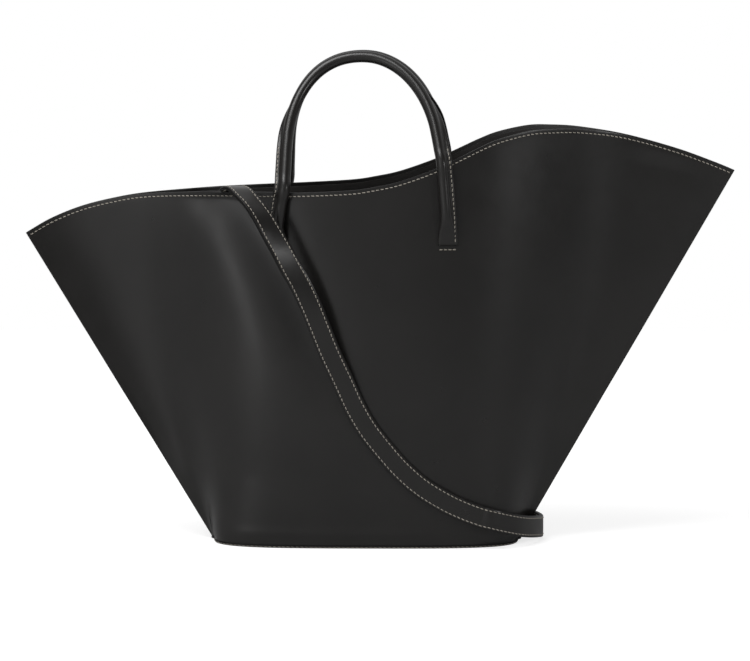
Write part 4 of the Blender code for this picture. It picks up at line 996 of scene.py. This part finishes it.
def strip_piece(name, stations, section, materials, replaces):
    """A strip along stations of place, facing and across, with painted edges."""
    verts, faces = loft([
        [tuple(place + across * x + facing * y) for x, y in section] for place, facing, across in stations
    ])
    half = len(section) // 2
    index = [int(f % half >= STRIP_POINTS - 1) for f in range(len(faces) - 2)] + [1, 1]
    mesh = mesh_from(name, verts, faces, np.array(index, np.int32))
    return finish_piece(name, mesh, materials, "bag", replaces, STRIP_ANGLE)


TOP_LEVEL, BACK_LEVEL = GAP / 2 + STRAP_TOP, -GAP / 2 - STRAP_BACK
strip_piece(
    "strap_top_leather", STRAP, strip_section(STRAP_W, GAP / 2, TOP_LEVEL, STRAP_BEVEL, STRAP_CROWN),
    [TRIM_LEATHER, EDGE], ["strap_top"],
)
strip_piece(
    "strap_backing_leather", STRAP, strip_section(STRAP_W, BACK_LEVEL, -GAP / 2, THIN_STRIP_BEVEL),
    [BACK_LEATHER, EDGE], ["strap_backing"],
)
runs = []
for sign in (-1, 1):
    for level, way in ((TOP_LEVEL + TOP_STITCH_LIFT, 1), (BACK_LEVEL, -1)):
        aside = sign * (STRAP_W / 2 - STRAP_STITCH_INSET)
        points = [place + across * aside + facing * level for place, facing, across in STRAP]
        runs.append((points, [facing * way for place, facing, across in STRAP]))
ends = (STRAP_STITCH_END, STRAP_STITCH_END)
stitches("strap_stitches", runs, "bag", radius=TRIM_THREAD, ends=ends)


def frame_at(axes, origin):
    made = Matrix(axes).transposed().to_4x4()
    made.translation = origin
    return made


def end_frame(is_first):
    """Frame of the eye at one end of the strap. Its z leads away from the strap."""
    place, facing, across = COARSE[0 if is_first else -1]
    along = facing.cross(across)
    away = -along if is_first else along
    origin = place + away * (EYE_R + GAP * 2) + facing * ((STRAP_TOP - STRAP_BACK) / 2)
    return frame_at((facing.cross(away), facing, away), origin)


def chape(name, is_first):
    """Leather loop that holds the eye at one end of the strap, and its stitches."""
    near = STRAP[:CHAPE_SPAN] if is_first else STRAP[:-CHAPE_SPAN - 1:-1]
    middle = (STRAP_TOP - STRAP_BACK) / 2
    radius = (STRAP_TOP + STRAP_BACK) / 2 + GAP * 1.5 + CHAPE_T / 2
    base = end_frame(is_first)
    side, facing, away, centre = (Vector(base.col[k][:3]) for k in range(4))
    path = [(place + out * (middle + radius), out, across) for place, out, across in near[::-1]]
    for c, s in circle(CHAPE_ROUND * 2)[:CHAPE_ROUND + 1]:
        out = facing * c + away * s
        path.append((centre + out * radius, out, side))
    path += [(place + out * (middle - radius), -out, across) for place, out, across in near]
    path = [(place, out, turned_to(across, side)) for place, out, across in path]
    section = strip_section(STRAP_W, -CHAPE_T / 2, CHAPE_T / 2, THIN_STRIP_BEVEL)
    strip_piece(name + "_leather", path, section, [TRIM_LEATHER, EDGE], [name])
    runs = []
    for sign in (-1, 1):
        aside = sign * (STRAP_W / 2 - STRAP_STITCH_INSET)
        for part in (path[:CHAPE_STITCHED], path[-CHAPE_STITCHED:]):
            points = [place + across * aside + out * (CHAPE_T / 2) for place, out, across in part]
            runs.append((points, [out for place, out, across in part]))
    place, out, across = path[1]
    points = [place + out * (CHAPE_T / 2) + across * x for x in even_row(CHAPE_BAR_W)]
    runs.append((points, [out] * len(points)))
    stitches(name + "_stitches", runs, "bag", radius=CHAPE_THREAD)


# hardware

WIRE_SIDES = 16
# the rounded end of a wire: how far it stands out and its size, from the wire to the tip
WIRE_END = ((0.27, 0.85), (0.51, 0.45))
EYE_CORNER, EYE_CORNER_STEPS = 0.0022, 7
DISC_BEVEL, THIN_BEVEL = 0.0004, 0.0002
# the barrel's turned outline: how far inside its radius, and how far from its near end or its far end
BARREL_NEAR = (
    (0.0007, 0), (0.0002, 0.0002), (0, 0.0007), (0, 0.0013), (0.0003, 0.0016), (0.0003, 0.0019), (0, 0.0022),
)
BARREL_FAR = ((0, 0.0009), (0.0002, 0.0003), (0.0008, 0))
BARREL_SIDES, SMALL_SIDES, BARREL_DISH = 32, 20, 0.0003
HOOK_STEPS, HOOK_TURN, HOOK_NECK_STEPS = 26, math.radians(195), 13
# the gate's lever: place along it and its width
GATE_RINGS = ((0.0, 0.9), (0.25, 0.92), (0.5, 1.0), (0.8, 1.1), (0.95, 1.15), (1.0, 0.95))
GATE_SIDES, GATE_POWER, GATE_W, GATE_ASIDE = 12, 0.4, 0.55, 0.2
# the ears that hold the gate, and the web that joins each to the barrel, as shares of the knuckle
EAR_SIZE, EAR_WEB_LOW, EAR_WEB_HIGH, EAR_WEB_INSET = 1.1, 0.95, 0.05, 0.1
PIN_TIP_R, PIN_TIP = 0.0004, 0.00012
# the ring's tab: rows of stitches as shares of its length, with how much further out they lie,
# its flat sides in the same form, and the sides of its bend round the ring
RING_TAB_ROWS = ((0.32, 1.28), (0.9, 1.0))
RING_TAB_SIDE, RING_TAB_SIDES = ((1, 1), (0.75, 1), (0.5, 1), (0.3125, 1.4)), 32
RING_TAB_SHARE, RING_TAB_STITCHED, RING_TAB_BEVEL = 0.66, 0.84, 0.0003
# the ring's straight side as a share of its width, and where its bow starts as a share of its reach
RING_STRAIGHT, RING_FOOT, RING_STEPS = 0.8, 0.16, 28
RIGHT_RING_AWAY = (-0.8, 0, -0.6)


def wire(points, radius, closed=False):
    """Round wire along a line in the x-z plane, with rounded ends if it is open."""
    if closed:
        ways = [after - before for before, after in zip(points[-1:] + points[:-1], points[1:] + points[:1])]
    else:
        ways = directions(points)
    rings = []
    for point, way in zip(points, ways):
        across = way.cross(BACKWARD).normalized()
        rings.append([point + (across * c + BACKWARD * s) * radius for c, s in circle(WIRE_SIDES)])
    if not closed:
        tips = []
        for end, away in ((0, -ways[0]), (-1, ways[-1])):
            tips.append([
                [points[end] + (p - points[end]) * size + away * (radius * reach) for p in rings[end]]
                for reach, size in WIRE_END
            ])
        rings = tips[0][::-1] + rings + tips[1]
    return loft([[tuple(p) for p in ring] for ring in rings], closed)


def round_curve(points, steps, corner):
    """Softens the corners of a flat closed outline."""
    made = []
    for before, point, after in zip(points[-1:] + points[:-1], points, points[1:] + points[:1]):
        a = point + (before - point).normalized() * min(corner, (before - point).length / 2.1)
        b = point + (after - point).normalized() * min(corner, (after - point).length / 2.1)
        for i in range(steps + 1):
            u = i / steps
            made.append(a * (1 - u) ** 2 + point * (2 * u * (1 - u)) + b * u * u)
    return made


def lathe(profile, sides=28, centre=None, closed=False):
    """Solid of revolution of (radius, height) round z, or round y through a centre given as (x, z)."""
    rings = []
    for radius, height in profile:
        spots = [(radius * c, radius * s) for c, s in circle(sides)]
        if centre is None:
            rings.append([(x, y, height) for x, y in spots])
        else:
            rings.append([(centre[0] + x, height, centre[1] + z) for x, z in spots])
    return loft(rings, closed)


def disc_profile(radius, low, high, bevel):
    return [(radius - inset, height) for inset, height in rounded_edge(bevel, low, high)]


def metal_piece(name, parts, matrix, body, replaces):
    verts, faces = merge(parts)
    mesh = mesh_from(name, [tuple(matrix @ Vector(v)) for v in verts], faces)
    return finish_piece(name, mesh, [METAL], body, replaces, STRIP_ANGLE)


# along the hook's own axis: where the barrel starts and ends, where the hook ends, and the gate's pivot
BARREL_START = EYE_DEPTH + EYE_R + GAP
BARREL_END = BARREL_START + BARREL_L
HOOK_END = BARREL_END + HOOK_L
PIVOT = Vector((-BARREL_R - KNUCKLE_R / 2, 0, BARREL_END - KNUCKLE_R / 2))


def hook_path():
    """Middle line of the hook, from inside the barrel round to its nose."""
    centre = HOOK_END - HOOK_HALF - HOOK_R
    controls = [
        (BARREL_R * 0.7, (BARREL_START + BARREL_END) / 2), (HOOK_HALF * 0.85, BARREL_END + HOOK_R),
        (HOOK_HALF, BARREL_END + HOOK_R * 3), (HOOK_HALF, centre),
    ]
    flat = [spline(controls, 3 * k / HOOK_NECK_STEPS) for k in range(HOOK_NECK_STEPS)]
    for k in range(HOOK_STEPS + 1):
        a = HOOK_TURN * k / HOOK_STEPS
        flat.append((HOOK_HALF * math.cos(a), centre + HOOK_HALF * math.sin(a)))
    return [Vector((x, 0, z)) for x, z in flat]


HOOK_LINE = hook_path()


def swivel_eye(word, base):
    """Eye with its stud and head, in the strap's end."""
    half = STRAP_W / 2 + EYE_R + GAP * 4
    outline = [Vector((x, 0, z)) for x, z in ((-half, 0), (half, 0), (half, EYE_DEPTH), (-half, EYE_DEPTH))]
    head = BARREL_END + GAP
    parts = [
        wire(round_curve(outline, EYE_CORNER_STEPS, EYE_CORNER), EYE_R, True),
        lathe([(STUD_R, EYE_DEPTH), (STUD_R, head + HEAD_T / 2)]),
        lathe(disc_profile(HEAD_R, head, head + HEAD_T, DISC_BEVEL)),
        lathe(disc_profile(HEAD_R, EYE_DEPTH - EYE_R * 0.6, EYE_DEPTH + EYE_R, DISC_BEVEL)),
    ]
    metal_piece(f"swivel_eye_{word}_metal", parts, base, "bag", [f"swivel_eye_{word}"])


def snap_hook(word, turned, body):
    """Hook with its barrel, its gate and the gate's pin."""
    profile = [(STUD_R + GAP, BARREL_START)]
    profile += [(BARREL_R - inset, BARREL_START + up) for inset, up in BARREL_NEAR]
    profile += [(BARREL_R - inset, BARREL_END - down) for inset, down in BARREL_FAR]
    profile += [(HEAD_R + GAP * 2, BARREL_END), (STUD_R + GAP, BARREL_END - BARREL_DISH)]
    parts = [lathe(profile, BARREL_SIDES, closed=True), wire(HOOK_LINE, HOOK_R)]
    inner = GATE_T / 2 + GAP
    outer = inner + EAR_T
    for low, high in ((-outer, -inner), (inner, outer)):
        profile = disc_profile(KNUCKLE_R * EAR_SIZE, low, high, THIN_BEVEL)
        parts.append(lathe(profile, SMALL_SIDES, (PIVOT.x, PIVOT.z)))
        z0, z1 = PIVOT.z - KNUCKLE_R * EAR_WEB_LOW, PIVOT.z - KNUCKLE_R * EAR_WEB_HIGH
        y0, y1 = low + EAR_T * EAR_WEB_INSET, high - EAR_T * EAR_WEB_INSET
        parts.append(loft([
            [(x, y0, z0), (x, y1, z0), (x, y1, z1), (x, y0, z1)] for x in (PIVOT.x, -BARREL_R / 2)
        ]))
    metal_piece(f"snap_hook_{word}_metal", parts, turned, body, [f"snap_hook_{word}"])
    lever = HOOK_LINE[-1] - PIVOT
    lever.z -= HOOK_R + GAP * 2
    lever.x += KNUCKLE_R * GATE_ASIDE
    across = Vector((lever.z, 0, -lever.x)).normalized()
    knuckle = lathe(disc_profile(KNUCKLE_R, -GATE_T / 2, GATE_T / 2, THIN_BEVEL), SMALL_SIDES, (0, 0))
    rings = []
    for share, width in GATE_RINGS:
        ring = []
        for w in range(GATE_SIDES):
            a = 2 * math.pi * (w + 0.5) / GATE_SIDES
            aside = across * (KNUCKLE_R * GATE_W * width * signed_power(math.cos(a), GATE_POWER))
            thick = BACKWARD * (GATE_T / 2 * signed_power(math.sin(a), GATE_POWER))
            ring.append(tuple(lever * share + aside + thick))
        rings.append(ring)
    hinge = turned @ Matrix.Translation(PIVOT)
    gate = [knuckle, loft(rings)]
    metal_piece(f"hook_gate_{word}_metal", gate, hinge, f"gate_{word}", [f"hook_gate_{word}"])
    profile = [(PIN_TIP_R, -outer - PIN_TIP), (PIN_R, -outer), (PIN_R, outer), (PIN_TIP_R, outer + PIN_TIP)]
    pin = lathe(profile, SMALL_SIDES, (0, 0))
    metal_piece(f"gate_pin_{word}_metal", [pin], hinge, body, [f"gate_pin_{word}"])


def ring_and_tab(word, matrix, body):
    """D-ring and the leather tab that holds it."""
    half = RING_W / 2
    outline = [Vector((half * RING_STRAIGHT * sign, 0, 0)) for sign in (-1, 1)]
    for c, s in circle(RING_STEPS * 2)[:RING_STEPS + 1]:
        outline.append(Vector((half * c, 0, blend(RING_REACH * RING_FOOT, RING_REACH, s))))
    metal_piece(f"d_ring_{word}_metal", [wire(outline, RING_R, True)], matrix, body, [f"d_ring_{word}"])
    radius = RING_R + GAP + TAB_STRIP / 2
    low = TAB_STRIP / 2 + GAP / 2
    width = RING_W * RING_TAB_SHARE
    side = [(low * lift, -RING_TAB_L * share) for share, lift in RING_TAB_SIDE]
    flat = side + [(radius * c, radius * s) for c, s in circle(RING_TAB_SIDES)[:RING_TAB_SIDES // 2 + 1]]
    middle = [Vector((0, y, z)) for y, z in flat + [(-y, z) for y, z in side[::-1]]]
    turn = matrix.to_3x3()
    stations = [
        (matrix @ point, turn @ Vector((0, along.z, -along.y)), turn @ RIGHTWARD)
        for point, along in zip(middle, directions(middle))
    ]
    section = strip_section(width, -TAB_STRIP / 2, TAB_STRIP / 2, RING_TAB_BEVEL)
    strip_piece(
        f"ring_tab_{word}_leather", stations, section, [TRIM_LEATHER, EDGE],
        [f"ring_tab_{word}"],
    )
    runs = []
    for way in (1, -1):
        for share, lift in RING_TAB_ROWS:
            level = way * (low + TAB_STRIP / 2) * lift
            row = even_row(width * RING_TAB_STITCHED)
            points = [matrix @ Vector((x, level, -RING_TAB_L * share)) for x in row]
            runs.append((points, [turn @ Vector((0, way, 0))] * len(points)))
    stitches(f"ring_tab_{word}_stitches", runs, "bag", radius=INNER_THREAD)


def make_hardware():
    left, free = end_frame(True), end_frame(False)
    quarter = Matrix.Rotation(math.radians(90), 4, "Z")
    ends = (("left", left, left @ quarter, "bag"), ("free", free, free, "hook_free"))
    for word, base, turned, body in ends:
        chape(f"strap_chape_{word}", word == "left")
        swivel_eye(word, base)
        snap_hook(word, turned, body)
    reach = HOOK_END - HOOK_R * 2 - GAP - RING_R + RING_REACH
    left_ring = left @ Matrix.Translation((0, 0, reach)) @ Matrix.Rotation(math.pi, 4, "X")
    away = Vector(RIGHT_RING_AWAY).normalized()
    axes = (BACKWARD.cross(away).normalized(), BACKWARD, away)
    ring_and_tab("left", left_ring, "bag")
    ring_and_tab("right", frame_at(axes, Vector((RIGHT_RING[0], 0, RIGHT_RING[1]))), "ring_right")


make_hardware()


# studio

# how bright the room is by direction, in degrees from the front towards the right
ROOM_LEVELS = [
    (-180, 0.7), (-140, 0.5), (-115, 0.12), (-90, 0.12), (-78, 0.40), (-50, 0.48), (-20, 0.55), (-8, 0.44),
    (4, 0.32), (12, 0.20), (22, 0.12), (34, 0.05), (70, 0.05), (88, 0.5), (130, 0.6), (180, 0.6),
]
FLOOR_HALF_WIDTH, FLOOR_FRONT, FLOOR_BEHIND, FLOOR_GLOW = 1.8, 1.8, 1.6, 0.72
# name, place, what it is aimed at, size, power
LAMPS = [
    ("top_light", (-0.75, -0.75, 2.2), (-0.10, 0.0, 0.25), (1.3, 1.0), 27),
    ("left_light", (-1.5, -1.9, 0.65), (0.0, 0.0, 0.2), (0.6, 1.3), 3.5),
    ("right_light", (1.66, -1.66, 0.73), (0.0, 0.0, 0.25), (0.24, 0.40), 6),
]
FLOOR_DROP, FLOOR_GREY, FLOOR_ROUGH, FLOOR_SPECULAR = 0.0002, 0.55, 0.9, 0.1


def aimed_object(name, data, place, aim):
    made = bpy.data.objects.new(name, data)
    made.location = place
    made.rotation_mode = "QUATERNION"
    made.rotation_quaternion = (aim - place).to_track_quat("-Z", "Y")
    bpy.context.scene.collection.objects.link(made)
    return made


def area_light(name, place, aim, size, power):
    data = bpy.data.lights.new(name, "AREA")
    data.shape = "RECTANGLE"
    data.size, data.size_y = size
    data.energy = power
    aimed_object(name, data, Vector(place), Vector(aim)).visible_camera = False


def math_node(tree, operation, *values):
    """Adds a calculation on values that are numbers or other nodes' outputs."""
    node = tree.nodes.new("ShaderNodeMath")
    node.operation = operation
    for place, value in zip(node.inputs, values):
        if isinstance(value, float):
            place.default_value = value
        else:
            tree.links.new(value, place)
    return node.outputs[0]


def straight_rays(tree):
    """1 for rays that the camera or a clear body sends straight to the background, 0 for others."""
    path = tree.nodes.new("ShaderNodeLightPath")
    return math_node(tree, "MAXIMUM", path.outputs["Is Camera Ray"], path.outputs["Is Transmission Ray"])


def room_level(tree):
    """The room as the leather mirrors it: its brightness by direction, from ROOM_LEVELS."""
    split = tree.nodes.new("ShaderNodeSeparateXYZ")
    tree.links.new(tree.nodes.new("ShaderNodeTexCoord").outputs["Generated"], split.inputs[0])
    front = math_node(tree, "MULTIPLY", split.outputs["Y"], -1.0)
    room = tree.nodes.new("ShaderNodeMapRange")
    room.inputs["From Min"].default_value = -math.pi
    room.inputs["From Max"].default_value = math.pi
    tree.links.new(math_node(tree, "ARCTAN2", split.outputs["X"], front), room.inputs["Value"])
    levels = tree.nodes.new("ShaderNodeValToRGB")
    stops = levels.color_ramp.elements
    while len(stops) > 1:
        stops.remove(stops[-1])
    for k, (degrees, level) in enumerate(ROOM_LEVELS):
        stop = stops[0] if k == 0 else stops.new(0.5 + degrees / 360)
        stop.position = 0.5 + degrees / 360
        stop.color = (level, level, level, 1)
    tree.links.new(room.outputs["Result"], levels.inputs["Fac"])
    return levels.outputs["Color"]


def make_studio():
    scene = bpy.context.scene
    scene.view_settings.view_transform = "Standard"
    world = bpy.data.worlds.new("studio")
    scene.world = world
    world.use_nodes = True
    tree = world.node_tree
    strength = tree.nodes.new("ShaderNodeMix")
    strength.data_type = "FLOAT"
    tree.links.new(straight_rays(tree), strength.inputs["Factor"])
    tree.links.new(room_level(tree), strength.inputs["A"])
    strength.inputs["B"].default_value = 1.0
    tree.links.new(strength.outputs["Result"], tree.nodes["Background"].inputs["Strength"])
    tree.nodes["Background"].inputs["Color"].default_value = (1, 1, 1, 1)

    mesh = bpy.data.meshes.new("studio_floor")
    x, y0, y1 = FLOOR_HALF_WIDTH, -FLOOR_FRONT, FLOOR_BEHIND
    mesh.from_pydata([(-x, y0, 0), (x, y0, 0), (x, y1, 0), (-x, y1, 0)], [], [(0, 1, 2, 3)])
    floor = bpy.data.objects.new("studio_floor", mesh)
    floor.location = (0, 0, -FLOOR_DROP)
    scene.collection.objects.link(floor)
    made, tree, shader = new_material("studio_floor")
    shader.inputs["Base Color"].default_value = (FLOOR_GREY, FLOOR_GREY, FLOOR_GREY, 1)
    shader.inputs["Roughness"].default_value = FLOOR_ROUGH
    shader.inputs["Specular IOR Level"].default_value = FLOOR_SPECULAR
    shader.inputs["Emission Color"].default_value = (1, 1, 1, 1)
    glow = math_node(tree, "MULTIPLY", straight_rays(tree), FLOOR_GLOW)
    tree.links.new(glow, shader.inputs["Emission Strength"])
    mesh.materials.append(made)
    for lamp in LAMPS:
        area_light(*lamp)


# the camera: where it is aimed, its two turns in degrees, its distance, and its lens in pixels per width
CAMERA_AIM, CAMERA_AZIMUTH, CAMERA_ELEVATION, CAMERA_DISTANCE = (0.008, 0.0, 0.1932), 0.8, 6.9, 3.8
SENSOR_WIDTH, FOCAL_PIXELS, PICTURE_PIXELS = 36.0, 4130.0, 750.0


def make_camera():
    data = bpy.data.cameras.new("camera")
    data.sensor_width = SENSOR_WIDTH
    data.lens = FOCAL_PIXELS * SENSOR_WIDTH / PICTURE_PIXELS
    data.clip_start, data.clip_end = 0.1, 60.0
    azimuth, elevation = math.radians(CAMERA_AZIMUTH), math.radians(CAMERA_ELEVATION)
    level = math.cos(elevation)
    back = Vector((math.sin(azimuth) * level, -math.cos(azimuth) * level, math.sin(elevation)))
    aim = Vector(CAMERA_AIM)
    bpy.context.scene.camera = aimed_object("camera", data, aim + back * CAMERA_DISTANCE, aim)


make_studio()
make_camera()
